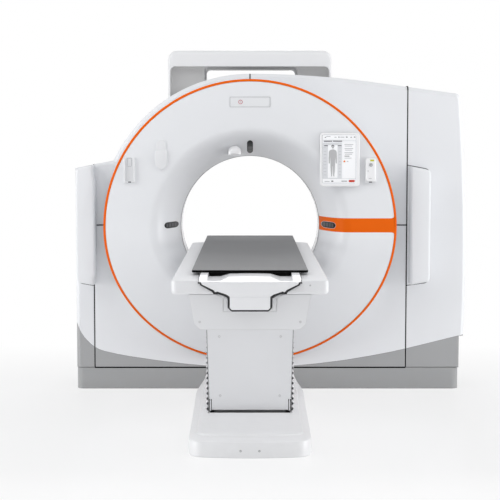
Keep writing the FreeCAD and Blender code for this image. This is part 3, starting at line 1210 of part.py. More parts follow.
def table_wing(side):
    """Side beam of the table frame, round at its ends and edges, open inside."""
    gap = CRADLE_GAP
    bend = 1 - math.sqrt(0.5)
    near = WING_NEAR_ROUND
    far = WING_FAR_ROUND
    plan = drawn([
        (0, WING_NEAR_Y + CAP_LIP), (WING_HALF - near, WING_NEAR_Y + CAP_LIP),
        (WING_HALF - near * bend, WING_NEAR_Y + CAP_LIP + near * bend,
         WING_HALF, WING_NEAR_Y + CAP_LIP + near),
        (WING_HALF, WING_FAR_Y - far),
        (WING_HALF - far * bend, WING_FAR_Y - far * bend, WING_HALF - far, WING_FAR_Y),
        (0, WING_FAR_Y)])
    beam = along_z(plan, WING_BOTTOM_Z, WING_TOP_Z)

    def outer(edge, z):
        bounds = edge.BoundBox
        return bounds.ZLength < 0.01 and abs(bounds.ZMin - z) < 0.01 and bounds.XMax > 1

    beam = soften(beam, WING_TOP_ROUND, lambda edge: outer(edge, WING_TOP_Z))
    beam = soften(beam, WING_LOW_ROUND, lambda edge: outer(edge, WING_BOTTOM_Z))
    underside = cradle_underside(gap)[:4]
    channel = drawn([(-1, CRADLE_TOP_Z + 1), (CRADLE_HALF + gap, CRADLE_TOP_Z + 1)] + underside
                    + [(CRADLE_BEAD, WING_BOTTOM_Z - 1), (-1, WING_BOTTOM_Z - 1)])
    beam = beam.cut(along_y(channel, TABLE_NEAR_Y, WING_FAR_Y + 1))
    void = box(CRADLE_HALF + gap + SHEET, WING_HALF - SHEET - WING_LOW_ROUND,
               WING_NEAR_Y + 2 * CAP_LIP, WING_FAR_Y - far - CAP_LIP,
               WING_BOTTOM_Z + SHEET, WING_TOP_Z - SHEET)
    beam = one_solid(beam.cut(void))
    return beam if side > 0 else mirrored(beam)


def table_body():
    """Long housing under the wings: groove, seal plate at its near end, and slide strips."""
    floor_z = KEEL_BOTTOM_Z - CRADLE_GAP - SLIDE_GAP

    def section(inset):
        taper = (BODY_TOP_HALF - BODY_BOTTOM_HALF) / (WING_BOTTOM_Z - BODY_BOTTOM_Z)
        bevel = BODY_FOOT_BEVEL
        half = [
            (GROOVE_HALF + inset, WING_BOTTOM_Z - GROOVE_BEVEL / 2 - inset),
            (GROOVE_HALF + GROOVE_BEVEL + inset, WING_BOTTOM_Z - inset),
            (BODY_TOP_HALF - inset, WING_BOTTOM_Z - inset),
            (BODY_BOTTOM_HALF + bevel * taper - inset, BODY_BOTTOM_Z + bevel),
            (BODY_BOTTOM_HALF - bevel, BODY_BOTTOM_Z + inset)]
        groove = [(-GROOVE_HALF - inset, floor_z - inset), (GROOVE_HALF + inset, floor_z - inset)]
        return drawn(both_sides(half) + groove)

    body = along_y(section(0), BODY_NEAR_Y, BODY_FAR_Y)
    body = body.cut(along_y(section(SHEET), BODY_NEAR_Y + SHEET, BODY_FAR_Y - SHEET))
    seal_y = BODY_NEAR_Y + SHEET + SEAL_RECESS
    edge = GROOVE_HALF + 1
    seal = along_y(drawn(both_sides([
        (edge + GROOVE_BEVEL, WING_BOTTOM_Z), (edge, WING_BOTTOM_Z - GROOVE_BEVEL / 2),
        (edge, floor_z - 1)])), seal_y, seal_y + SHEET)
    passage = along_y(drawn(both_sides(cradle_underside(CRADLE_GAP + SLIDE_GAP))),
                      seal_y - 1, seal_y + SHEET + 1)
    body = body.fuse(seal.cut(passage))
    middle = KEEL_FOOT - 2 * STRIP_HALF
    for x in (-middle, middle):
        body = body.fuse(box(x - STRIP_HALF, x + STRIP_HALF, BODY_NEAR_Y + CAP_LIP,
                             BODY_FAR_Y - CAP_LIP, floor_z - 1, KEEL_BOTTOM_Z - SLIDE_GAP))
    return one_solid(body)


def foot_plan(inset, front_inset, z):
    """Plan of the table foot: bowed front, round corners, sides that widen to the rear."""
    front = FOOT_FRONT_Y + front_inset
    corner_y = FOOT_CORNER_Y + front_inset
    half = FOOT_HALF_FRONT - inset
    rear_half = FOOT_HALF_REAR - inset
    rear_y = SURROUND_Y - SLIDE_GAP
    corner = FOOT_CORNER
    wire = drawn([
        (-rear_half, rear_y), (-rear_half, PANEL_Y), (-half, corner_y),
        (-half + corner / 4, front + corner, corner - half, front + FOOT_BOW),
        (0, front, half - corner, front + FOOT_BOW),
        (half - corner / 4, front + corner, half, corner_y),
        (rear_half, PANEL_Y), (rear_half, rear_y)])
    wire.translate(V(0, 0, z))
    return wire


def foot_body(inset):
    """Outer form of the foot, or its inside when an inset is given."""
    low = -1.0 if inset else 0.0
    sections = [
        foot_plan(inset, inset, low),
        foot_plan(FOOT_RIM_INSET + inset, FOOT_RIM_SLOPE + inset, FOOT_RIM_Z - inset / 2),
        foot_plan(FOOT_SIDE_INSET + inset, FOOT_FRONT_INSET + inset, FOOT_TOP_Z - inset)]
    return Part.makeLoft(sections, True, True)


def table_foot_cover():
    """Low moulded foot with the opening that the column sinks into."""
    shell = foot_body(0).cut(foot_body(SHEET))
    clear = PANEL_THICK
    front = PANEL_Y - FOOT_OPEN_FRONT
    half = BELLOWS_HALF - BELLOWS_FOLD - clear
    low = FOOT_TOP_Z - 2 * CAP_LIP
    opening = box(-half, half, front, COLUMN_REAR_Y - BELLOWS_FOLD - clear, low, FOOT_TOP_Z + 1)
    slot_half = PANEL_BOTTOM_HALF + clear
    opening = opening.fuse(box(-slot_half, slot_half, front, PANEL_Y + PANEL_THICK + SEAM,
                               low, FOOT_TOP_Z + 1))
    return one_solid(shell.cut(opening))


def stage_tube(step, z0, z1):
    """One square tube of the telescopic column; step 0 is the outermost."""
    shrink = step * (TUBE_WALL + STAGE_GAP)
    outer = box(shrink - TUBE_HALF, TUBE_HALF - shrink, TUBE_FRONT_Y + shrink,
                TUBE_REAR_Y - shrink, z0, z1)
    grow = shrink + TUBE_WALL
    inner = box(grow - TUBE_HALF, TUBE_HALF - grow, TUBE_FRONT_Y + grow, TUBE_REAR_Y - grow,
                z0 - 1, z1 + 1)
    return outer.cut(inner)


def table_base_frame():
    """Floor plate of the table with the lowest tube of its column."""
    half = TABLE_PLATE_HALF
    near = TABLE_PLATE_NEAR_Y
    far = TABLE_PLATE_FAR_Y
    frame = box(-half, half, near, far, 0, TABLE_PLATE)
    frame = frame.fuse(stage_tube(0, TABLE_PLATE, PANEL_TOP_Z - LIFT_DOWN - STAGE_STOP))
    for x in (STAGE_STOP + RIB - half, half - STAGE_STOP - 2 * RIB):
        frame = frame.fuse(box(x, x + RIB, near + RIB, TUBE_FRONT_Y - HOOP_FOOT,
                               TABLE_PLATE, STIFFENER))
        frame = frame.fuse(box(x, x + RIB, TUBE_REAR_Y + HOOP_FOOT, far - RIB,
                               TABLE_PLATE, STIFFENER))
    for x in (-TABLE_ANCHOR_X, TABLE_ANCHOR_X):
        for y in (near + TABLE_ANCHOR_INSET, far - TABLE_ANCHOR_INSET):
            frame = frame.cut(rod((x, y, -1), (x, y, TABLE_PLATE + 1), ANCHOR_HOLE / 2))
    return one_solid(frame)


def column_mid_frame():
    """Middle tube of the column, with the collar and arms that carry the front panel."""
    collar_low = PANEL_TOP_Z - 2 * COLLAR
    low = LIFT_DOWN * STAGE_SHARE + 2 * CAP_LIP
    tube = stage_tube(1, low, collar_low + COLLAR)
    half = TUBE_HALF + TUBE_WALL
    inner = TUBE_WALL + STAGE_GAP + 1
    collar = box(-half, half, TUBE_FRONT_Y - TUBE_WALL, TUBE_REAR_Y + TUBE_WALL,
                 collar_low, collar_low + COLLAR)
    collar = collar.cut(box(inner - TUBE_HALF, TUBE_HALF - inner, TUBE_FRONT_Y + inner,
                            TUBE_REAR_Y - inner, collar_low - 1, collar_low + COLLAR + 1))
    arm = box(half - PANEL_THICK, half, PANEL_Y + PANEL_THICK, TUBE_FRONT_Y,
              collar_low, collar_low + COLLAR)
    return one_solid(tube.fuse(collar).fuse(arm).fuse(mirrored(arm)))


def column_front_panel():
    """Tapered panel before the column, notched at its lower corners."""
    rear = PANEL_Y + PANEL_THICK
    panel_wire = drawn([
        (-PANEL_BOTTOM_HALF, PANEL_BOTTOM_Z), (PANEL_BOTTOM_HALF, PANEL_BOTTOM_Z),
        (PANEL_TOP_HALF, PANEL_TOP_Z), (-PANEL_TOP_HALF, PANEL_TOP_Z)])
    sheet = along_y(panel_wire, PANEL_Y, rear)
    notch_top = PANEL_BOTTOM_Z + NOTCH_HEIGHT
    for side in (-1, 1):
        edge = side * PANEL_TOP_HALF
        inner = side * (PANEL_BOTTOM_HALF - NOTCH_WIDTH)
        sheet = sheet.cut(box(min(edge, inner), max(edge, inner), PANEL_Y - 1, rear + 1,
                              PANEL_BOTTOM_Z - 1, notch_top))
        pin_x = side * (PANEL_BOTTOM_HALF - NOTCH_WIDTH / 2)
        pin_y = PANEL_Y + PANEL_THICK / 2
        sheet = sheet.fuse(rod((pin_x, pin_y, PANEL_BOTTOM_Z),
                               (pin_x, pin_y, notch_top + PIN_RADIUS), PIN_RADIUS))
    return one_solid(sheet)


def column_upper_stage():
    """Upper tube of the column and the inner panel behind the front one."""
    tube = stage_tube(2, LIFT_DOWN + STAGE_FOOT, BODY_BOTTOM_Z)
    inset = 2 * TUBE_WALL + 2 * STAGE_GAP
    flange = box(inset - TUBE_HALF, TUBE_HALF - inset, TUBE_FRONT_Y + inset,
                 TUBE_REAR_Y - inset, BODY_BOTTOM_Z - TUBE_WALL, BODY_BOTTOM_Z)
    inner_y = PANEL_Y + PANEL_THICK + CRADLE_GAP
    half = TUBE_HALF
    sheet = box(-half, half, inner_y, inner_y + SHEET, PANEL_TOP_Z - STAGE_LAP, BODY_BOTTOM_Z)
    top = box(-half, half, inner_y, TUBE_FRONT_Y + inset + 1, BODY_BOTTOM_Z - TUBE_WALL,
              BODY_BOTTOM_Z)
    return one_solid(tube.fuse(flange).fuse(sheet).fuse(top))


def column_bellows():
    """Pleated bellows round the sides and rear of the column."""
    rise = BODY_BOTTOM_Z - FOOT_TOP_Z
    front_y = PANEL_Y + PANEL_THICK + 1
    front_open = front_y - STAGE_LAP

    def section(depth, z):
        half = BELLOWS_HALF - depth
        rear = COLUMN_REAR_Y - depth
        corners = [(-half, front_open), (half, front_open), (half, rear), (-half, rear)]
        points = [V(x, y, z) for x, y in corners]
        return Part.makePolygon(points + points[:1])

    def bag(depth):
        wires = []
        for step in range(2 * BELLOWS_FOLDS + 1):
            fold = 0.0 if step % 2 else BELLOWS_FOLD
            wires.append(section(depth + fold, FOOT_TOP_Z + rise * step / (2 * BELLOWS_FOLDS)))
        return Part.makeLoft(wires, True, True)

    skin = bag(0).cut(bag(BELLOWS_WALL))
    front = box(-WING_HALF, WING_HALF, front_open - 1, front_y, 0, BODY_BOTTOM_Z + 1)
    return one_solid(skin.cut(front))


# ---------------------------------------------------------------- build and write
def build():
    """Every piece by its node name."""
    windows = {
        "laser_window_top": laser_window(0, ISO_HEIGHT + WINDOW_CENTRE_R, True),
        "laser_window_left": laser_window(-WINDOW_CENTRE_R, ISO_HEIGHT + WINDOW_RISE, False),
        "laser_window_right": laser_window(WINDOW_CENTRE_R, ISO_HEIGHT + WINDOW_RISE, False)}
    strip = one_solid(trim().cut(windows["laser_window_right"]))
    inlays = list(windows.values()) + [strip, camera_dome()]
    body = housing(0)
    shell = body.cut(housing(SKIN))
    front = SURROUND_Y - 10
    band = SURROUND_Y + FRONT_BAND
    hole = disc(-SEAM, front, band)
    rear = REAR_Y - REAR_BAND
    high = BRIDGE_TOP_Z
    pieces = {
        "gantry_base_frame": gantry_base_frame(),
        "stator_frame": stator_frame(),
        "cover_frame": cover_frame(),
        "bearing_outer_race": bearing_outer_race(),
        "ring_motor_stator": ring_motor_stator(),
        "front_cover": front_cover([strip, display_plate(DISPLAY_GAP)]),
        "front_funnel": front_funnel(inlays),
        "trim_ring": strip,
        "surround_upper_left": one_solid(panel(
            shell, SEAM_LEFT_X, 0, front, band, SEAM_LEVEL_Z, high).cut(hole)),
        "surround_upper_right": one_solid(panel(
            shell, 0, SEAM_RIGHT_X, front, band, SEAM_LEVEL_Z, high).cut(hole)),
        "surround_lower": one_solid(panel(
            shell, SEAM_LEFT_X, SEAM_RIGHT_X, front, band, PLINTH_TOP, SEAM_LEVEL_Z).cut(hole)),
        "left_side_cover": one_solid(panel(
            shell, LEFT_X - 20, SEAM_LEFT_X, front, REAR_Y + 10, PLINTH_TOP, high)),
        "right_side_cover": right_side_cover(body, shell),
        "top_cover": one_solid(panel(
            shell, SEAM_LEFT_X, SEAM_RIGHT_X, band, rear, SEAM_LEVEL_Z, high)),
        "rear_cover": rear_cover(shell),
        "plinth_cover": plinth_cover(),
        "bore_liner": bore_liner(),
        "display_window": display_plate(0),
        "camera_dome": camera_dome(),
        "tablet_dock_left": tablet_dock(-1),
        "tablet_dock_right": tablet_dock(1),
        "remote_holder_left": remote_holder(-1),
        "remote_holder_right": remote_holder(1),
        "tablet": tablet(),
        "tablet_screen": tablet_screen(),
        "remote_control": remote(),
        "remote_button": remote_button(),
        "top_bridge": top_bridge(),
        "top_laser_carriage": top_carriage(),
        "left_tower": tower(LEFT_TOWER, -1),
        "left_laser_carriage": tower_carriage(LEFT_TOWER, -1),
        "right_tower": tower(RIGHT_TOWER, 1),
        "right_laser_carriage": tower_carriage(RIGHT_TOWER, 1),
        "rotor_drum": rotor_drum(),
        "bearing_inner_race": bearing_inner_race(),
        "ring_motor_magnets": ring_motor_magnets(),
        "slip_ring": slip_ring(),
        "x_ray_tube": x_ray_tube(),
        "collimator": collimator(),
        "detector_arc": detector_arc(),
        "high_voltage_unit": generator(-1, UNIT_HEIGHT * 0.3),
        "inverter_unit": generator(1, -UNIT_HEIGHT * 0.1),
        "cooler": cooler(),
        "table_foot_cover": table_foot_cover(),
        "table_base_frame": table_base_frame(),
        "column_bellows": column_bellows(),
        "column_front_panel": column_front_panel(),
        "column_mid_frame": column_mid_frame(),
        "column_upper_stage": column_upper_stage(),
        "table_body": table_body(),
        "table_wing_left": table_wing(-1),
        "table_wing_right": table_wing(1),
        "tabletop_cradle": tabletop_cradle(),
        "cradle_end_cap": cradle_end_cap(),
        "cradle_gasket": cradle_gasket(),
        "overlay_plate": overlay_plate(),
        "overlay_spacer": overlay_spacer()}
    pieces.update(windows)
    return pieces


os.makedirs("parts", exist_ok=True)
for name, shape in build().items():
    if not shape.isValid() or len(shape.Solids) != 1:
        print(name, "needs a look: valid", shape.isValid(), "solids", len(shape.Solids))
    shape.exportStep(os.path.join("parts", name + ".step"))
print("the parts are written")
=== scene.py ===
# %% [markdown]
# A CT scanner has two parts: a ring gantry that the patient passes through, and
# a table that carries the patient into it. The shapes come from a CAD model
# that is already in metres. This notebook dresses it: it adds the small pieces
# that CAD leaves out, gives every surface a finish, and lights it as in a studio.

# %% Load the CAD model
import math

import bmesh
import bpy
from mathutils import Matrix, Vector
from mathutils.geometry import tessellate_polygon


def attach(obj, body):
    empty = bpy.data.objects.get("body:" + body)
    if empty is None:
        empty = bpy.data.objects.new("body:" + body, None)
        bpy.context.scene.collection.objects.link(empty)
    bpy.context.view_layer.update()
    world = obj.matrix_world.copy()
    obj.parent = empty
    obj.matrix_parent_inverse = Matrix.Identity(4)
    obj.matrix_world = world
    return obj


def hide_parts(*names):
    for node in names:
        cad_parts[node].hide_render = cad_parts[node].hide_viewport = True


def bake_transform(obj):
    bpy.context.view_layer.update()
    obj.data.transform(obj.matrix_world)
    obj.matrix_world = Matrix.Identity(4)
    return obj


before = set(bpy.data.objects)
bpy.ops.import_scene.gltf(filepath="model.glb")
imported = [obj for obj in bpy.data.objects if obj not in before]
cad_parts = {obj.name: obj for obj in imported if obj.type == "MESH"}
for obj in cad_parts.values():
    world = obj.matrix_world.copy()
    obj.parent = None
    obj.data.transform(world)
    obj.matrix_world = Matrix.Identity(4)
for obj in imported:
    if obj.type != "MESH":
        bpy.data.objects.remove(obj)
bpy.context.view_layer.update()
print("CAD solids", len(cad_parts))

# %% [markdown]
# The camera stands in front of the table, as far away as a photographer with a
# long lens would. A long lens keeps the ring round and the sides nearly
# parallel. Working back from where known points lie in the picture gives the
# distance, the height and the small downward tilt.

# %% Camera
CAMERA_PLACE = (0.0, -8.565, 1.532)
CAMERA_TILT = 4.575          # degrees below the horizon
SENSOR_MM = 36.0
LENS_MM = 98.7
SEEN_FROM, SEEN_TO = 0.1, 100.0      # what lies nearer or further isn't drawn
scene = bpy.context.scene
camera_data = bpy.data.cameras.new("studio_camera")
camera_data.sensor_width = SENSOR_MM
camera_data.lens = LENS_MM
camera_data.clip_start = SEEN_FROM
camera_data.clip_end = SEEN_TO
camera = bpy.data.objects.new("studio_camera", camera_data)
camera.location = CAMERA_PLACE
camera.rotation_euler = (math.radians(90.0 - CAMERA_TILT), 0.0, 0.0)
scene.collection.objects.link(camera)
scene.camera = camera
scene.view_settings.view_transform = "Standard"
print("camera looks along +Y from", CAMERA_PLACE)

# %% [markdown]
# Every small piece is a mesh made from plain lists of points and faces. The
# helper names it, gives it a finish, and fixes it to the body that it moves with,
# which is the gantry for most. Faces that meet at a low angle are shaded smooth,
# so rounded shapes look round, and real edges stay crisp. Most pieces are tubes
# of closed loops, because mouldings are the same outline pushed through space.

# %% Pieces from points
SMOOTH_LIMIT = math.radians(35.0)
SAME_POINT = 1e-6


def piece(name, points, faces, slot, body="gantry", smooth=True, material=None):
    """A mesh piece that rides on a body and takes its finish from a slot."""
    mesh = bpy.data.meshes.new(name)
    mesh.from_pydata([tuple(point) for point in points], [], [tuple(face) for face in faces])
    work = bmesh.new()
    work.from_mesh(mesh)
    bmesh.ops.remove_doubles(work, verts=work.verts, dist=SAME_POINT)
    bmesh.ops.recalc_face_normals(work, faces=work.faces)
    for face in work.faces:
        face.smooth = smooth
    for edge in work.edges:
        if len(edge.link_faces) == 2 and edge.calc_face_angle(0.0) > SMOOTH_LIMIT:
            edge.smooth = False
    work.to_mesh(mesh)
    work.free()
    made = bpy.data.objects.new(name, mesh)
    scene.collection.objects.link(made)
    mesh.materials.append(bpy.data.materials[material or slot])
    if body:
        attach(made, body)
    return made


def grid_faces(rows, columns, closed=False):
    """Quads that join a grid of points, row by row; closed joins last column to first."""
    faces = []
    for row in range(rows - 1):
        for column in range(columns if closed else columns - 1):
            after = (column + 1) % columns
            faces.append((row * columns + column, row * columns + after,
                          (row + 1) * columns + after, (row + 1) * columns + column))
    return faces


def loops_piece(name, loops, slot, body="gantry", cap_first=False, cap_last=False,
                material=None):
    """Closed loops of equal length joined into a tube, with caps where asked."""
    count = len(loops[0])
    points = [point for loop in loops for point in loop]
    faces = grid_faces(len(loops), count, closed=True)
    if cap_first:
        faces.append(tuple(range(count))[::-1])
    if cap_last:
        start = (len(loops) - 1) * count
        faces.append(tuple(range(start, start + count)))
    return piece(name, points, faces, slot, body, material=material)


print("smooth up to", round(math.degrees(SMOOTH_LIMIT)), "degrees")

# %% [markdown]
# The outlines are lists of (x, z) points as seen from the table. Boxes with round
# corners, circles and arcs cover nearly all of them, since moulded covers have no
# sharp corners. A plate gives an outline depth and, where asked, a round edge
# made of three narrow facets, which is enough at the size that it is seen.

# %% Outlines and plates
BEVEL_SHARES = (0.3, 0.7, 1.0)       # how far round the edge each facet ends
NO_LENGTH = 1e-9             # a corner without a direction isn't moved


def spread(start, end, steps):
    """Numbers from start to end in equal steps, with both ends."""
    return [start + (end - start) * step / steps for step in range(steps + 1)]


def arc(x, z, radius_x, radius_z, start, end, steps):
    """Points on an oval round (x, z), from one angle to another in degrees."""
    turns = [math.radians(angle) for angle in spread(start, end, steps)]
    return [(x + radius_x * math.cos(turn), z + radius_z * math.sin(turn)) for turn in turns]


def circle(x, z, radius, steps=32):
    """Outline of a circle."""
    return arc(x, z, radius, radius, 0.0, 360.0, steps)[:-1]


def round_box(x0, x1, z0, z1, radius, steps=6):
    """Outline of a rectangle with round corners."""
    corners = ((x1 - radius, z1 - radius, 0.0), (x0 + radius, z1 - radius, 90.0),
               (x0 + radius, z0 + radius, 180.0), (x1 - radius, z0 + radius, 270.0))
    return [point for x, z, start in corners
            for point in arc(x, z, radius, radius, start, start + 90.0, steps)]


def refined(outline, longest):
    """The same closed outline with extra points, so that no side is too long."""
    made = []
    for index, start in enumerate(outline):
        end = outline[(index + 1) % len(outline)]
        count = max(1, math.ceil(math.dist(start, end) / longest))
        made += list(zip(spread(start[0], end[0], count), spread(start[1], end[1], count)))[:-1]
    return made


def shrunk(outline, amount):
    """The same outline moved inwards by amount, corner by corner."""
    made = []
    for index, (x, z) in enumerate(outline):
        before = outline[index - 1]
        after = outline[(index + 1) % len(outline)]
        along = Vector((after[0] - before[0], after[1] - before[1]))
        if along.length < NO_LENGTH:
            made.append((x, z))
            continue
        along.normalize()
        made.append((x - along[1] * amount, z + along[0] * amount))
    return made


def at_depth(outline, y):
    """An (x, z) outline as points at one depth."""
    return [(x, y, z) for x, z in outline]


def plate(name, outline, front, back, slot, body="gantry", bevel=0.0, material=None):
    """A flat plate facing the table, from y = front to y = back."""
    loops = [at_depth(outline, back), at_depth(outline, front + bevel)]
    for share in BEVEL_SHARES if bevel else ():
        angle = share * math.pi / 2.0
        inward = bevel * (1.0 - math.cos(angle))
        loops.append(at_depth(shrunk(outline, inward), front + bevel * (1.0 - math.sin(angle))))
    return loops_piece(name, loops, slot, body, True, True, material)


def hoop(name, outline, width, front, back, slot, material=None):
    """A flat frame of a given width along an outline."""
    inner = shrunk(outline, width)
    loops = [at_depth(outline, back), at_depth(outline, front), at_depth(inner, front),
             at_depth(inner, back)]
    return loops_piece(name, loops, slot, material=material)


print("a round box has", len(round_box(0.0, 1.0, 0.0, 1.0, 0.1)), "points")

# %% [markdown]
# Finishes are node trees, so first come helpers to write them down briefly. An
# input takes either another node's output or a plain number. What is used on many
# surfaces becomes a node group: built once, placed often, each time with its own
# numbers.

# %% Node helpers
def feed(tree, socket, value):
    """Gives an input a link or a plain value."""
    if isinstance(value, bpy.types.NodeSocket):
        tree.links.new(value, socket)
    else:
        socket.default_value = value


def node(tree, kind, feeds=(), **settings):
    """A new node: settings go to the node itself, feeds to its inputs."""
    made = tree.nodes.new(kind)
    for key, value in settings.items():
        setattr(made, key, value)
    for key, value in dict(feeds).items():
        feed(tree, made.inputs[key], value)
    return made


def maths(tree, operation, first, second=None, clamp=False):
    """A math node; returns its output."""
    feeds = {0: first} if second is None else {0: first, 1: second}
    return node(tree, "ShaderNodeMath", feeds, operation=operation, use_clamp=clamp).outputs[0]


def colour_mix(tree, factor, first, second, blend="MIX"):
    """A colour mix node; any of the three may be a socket or a plain value."""
    return node(tree, "ShaderNodeMix", {0: factor, 6: first, 7: second}, data_type="RGBA",
                blend_type=blend).outputs[2]


def shaded(tree, colour, level):
    """A colour made lighter or darker by a level close to one."""
    grey = node(tree, "ShaderNodeCombineColor", {0: level, 1: level, 2: level})
    return colour_mix(tree, 1.0, colour, grey.outputs[0], "MULTIPLY")


def object_place(tree):
    """Coordinates on the object, which are metres in the scanner's own frame."""
    return node(tree, "ShaderNodeTexCoord").outputs["Object"]


def noise(tree, place, scale, detail):
    """The grey output of a noise texture."""
    return node(tree, "ShaderNodeTexNoise", {"Vector": place, "Scale": scale,
                                             "Detail": detail}).outputs[0]


SOCKET_KINDS = {"Color": "NodeSocketColor", "Zone": "NodeSocketColor",
                "Normal": "NodeSocketVector", "Stretch": "NodeSocketVector"}


def new_group(name, inputs, outputs):
    """A node group with named sockets; returns it and what it is given."""
    tree = bpy.data.node_groups.new(name, "ShaderNodeTree")
    for label, value in inputs.items():
        kind = SOCKET_KINDS.get(label, "NodeSocketFloat")
        socket = tree.interface.new_socket(name=label, in_out="INPUT", socket_type=kind)
        socket.default_value = value
    for label in outputs:
        kind = SOCKET_KINDS.get(label, "NodeSocketFloat")
        tree.interface.new_socket(name=label, in_out="OUTPUT", socket_type=kind)
    return tree, node(tree, "NodeGroupInput").outputs


GREY = (0.5, 0.5, 0.5, 1.0)
print("a group's inputs start at", GREY)

# %% [markdown]
# Real plastic and paint are never one flat colour. Moulded plastic has a fine
# grain and is a little uneven over a hand's width. Edges are softly rounded and
# catch more light. A bevel node rounds the normal there without changing the
# mesh, and it also tells where the edges are, so a painted highlight lightens them.

# %% Grain and soft edges
BROAD_SCALE = 2.3            # unevenness over about 40 cm
ROUGH_BY_BROAD = 0.1
ROUGH_BY_FINE = 0.12
EDGE_GAIN = 6.0              # how fast the light edge sets in
EDGE_HIGHLIGHT_COLOUR = (0.95, 0.95, 0.95, 1.0)


def build_grain():
    """Fine noise for height and roughness, broad soft noise for brightness."""
    tree, given = new_group("moulded_grain", {"Color": GREY, "Roughness": 0.5, "Scale": 700.0,
                                              "Mottle": 0.03}, ("Color", "Roughness", "Height"))
    place = object_place(tree)
    fine = noise(tree, place, given["Scale"], 3.0)
    shift = maths(tree, "SUBTRACT", noise(tree, place, BROAD_SCALE, 4.0), 0.5)
    level = maths(tree, "ADD", maths(tree, "MULTIPLY", shift, given["Mottle"]), 1.0)
    uneven = maths(tree, "MULTIPLY", maths(tree, "SUBTRACT", fine, 0.5), ROUGH_BY_FINE)
    rough = maths(tree, "ADD", maths(tree, "MULTIPLY", shift, ROUGH_BY_BROAD), uneven)
    node(tree, "NodeGroupOutput", {
        "Color": shaded(tree, given["Color"], level),
        "Roughness": maths(tree, "ADD", given["Roughness"], rough, clamp=True),
        "Height": fine})
    return tree


def build_edges():
    """A rounded normal at sharp edges, and a painted highlight along them."""
    tree, given = new_group("soft_edges", {"Color": GREY, "Radius": 0.003, "Light": 0.2},
                            ("Color", "Normal"))
    bevel = node(tree, "ShaderNodeBevel", {"Radius": given["Radius"]}, samples=4).outputs[0]
    flat = node(tree, "ShaderNodeNewGeometry").outputs["Normal"]
    facing = node(tree, "ShaderNodeVectorMath", {0: bevel, 1: flat}, operation="DOT_PRODUCT")
    turned = maths(tree, "SUBTRACT", 1.0, facing.outputs["Value"])
    mask = maths(tree, "MULTIPLY", maths(tree, "MULTIPLY", turned, EDGE_GAIN, clamp=True),
                 given["Light"])
    node(tree, "NodeGroupOutput", {
        "Color": colour_mix(tree, mask, given["Color"], EDGE_HIGHLIGHT_COLOUR), "Normal": bevel})
    return tree


groups = {"grain": build_grain(), "edges": build_edges()}
print("node groups", sorted(group.name for group in groups.values()))

# %% [markdown]
# Floors are wet-mopped, so dust and scuffs gather low down on a machine and fade
# out with height. Machined metal has long thin marks along the way that the tool
# went. They are noise that is stretched in one direction.

# %% Dust and brush marks
DUST_COLOUR = (0.38, 0.36, 0.33, 1.0)
DUST_SCALE = 26.0
DUST_START = 0.35            # noise below this is clean
DUST_GAIN = 2.4


def build_dust():
    """Scuffs and dust that fade out with height above the floor."""
    tree, given = new_group("floor_dust", {"Color": GREY, "Roughness": 0.5, "Reach": 0.25,
                                           "Amount": 0.2}, ("Color", "Roughness"))
    place = object_place(tree)
    split = node(tree, "ShaderNodeSeparateXYZ", {0: place})
    height = maths(tree, "DIVIDE", split.outputs[2], given["Reach"])
    low = maths(tree, "SUBTRACT", 1.0, height, clamp=True)
    specks = maths(tree, "SUBTRACT", noise(tree, place, DUST_SCALE, 8.0), DUST_START)
    broken = maths(tree, "MULTIPLY", specks, DUST_GAIN, clamp=True)
    mask = maths(tree, "MULTIPLY", maths(tree, "MULTIPLY", low, broken), given["Amount"])
    node(tree, "NodeGroupOutput", {
        "Color": colour_mix(tree, mask, given["Color"], DUST_COLOUR),
        "Roughness": maths(tree, "ADD", given["Roughness"], mask, clamp=True)})
    return tree


def build_brush():
    """Long thin marks, stretched along one direction, for drawn and turned metal."""
    tree, given = new_group("brushed", {"Color": GREY, "Roughness": 0.4,
                                        "Stretch": (900.0, 900.0, 9.0), "Contrast": 0.2},
                            ("Color", "Roughness", "Height"))
    scaled = node(tree, "ShaderNodeVectorMath", {0: object_place(tree), 1: given["Stretch"]},
                  operation="MULTIPLY")
    marks = noise(tree, scaled.outputs[0], 1.0, 4.0)
    shift = maths(tree, "MULTIPLY", maths(tree, "SUBTRACT", marks, 0.5), given["Contrast"])
    node(tree, "NodeGroupOutput", {
        "Color": shaded(tree, given["Color"], maths(tree, "ADD", shift, 1.0)),
        "Roughness": maths(tree, "ADD", given["Roughness"], shift, clamp=True),
        "Height": marks})
    return tree


groups.update(dust=build_dust(), brush=build_brush())
print("node groups", sorted(group.name for group in groups.values()))

# %% [markdown]
# The covers are grey below a curved line that sinks from both sides towards the
# table. On the real scanner this is one paint line across several panels. So it
# is one mask across all of them: a curve gives the line's height at each x, and
# what lies below it is grey.

# %% The grey lower zone
ZONE_LINE = ((-1.100, 0.470), (-1.075, 0.423), (-1.065, 0.402), (-1.053, 0.371),
             (-1.039, 0.345), (-1.023, 0.321), (-1.005, 0.300), (-0.984, 0.279),
             (-0.960, 0.260), (-0.931, 0.244), (-0.899, 0.233), (-0.820, 0.215),
             (-0.739, 0.200), (-0.577, 0.176), (-0.410, 0.155), (-0.273, 0.142),
             (0.273, 0.142), (0.410, 0.155), (0.577, 0.176), (0.739, 0.203),
             (0.864, 0.227), (0.959, 0.248), (1.288, 0.330), (1.350, 0.345))
ZONE_LEFT = -1.1
ZONE_WIDTH = 2.45
ZONE_TOP = 0.5
ZONE_SHARPNESS = 900.0       # the edge fades over about a millimetre


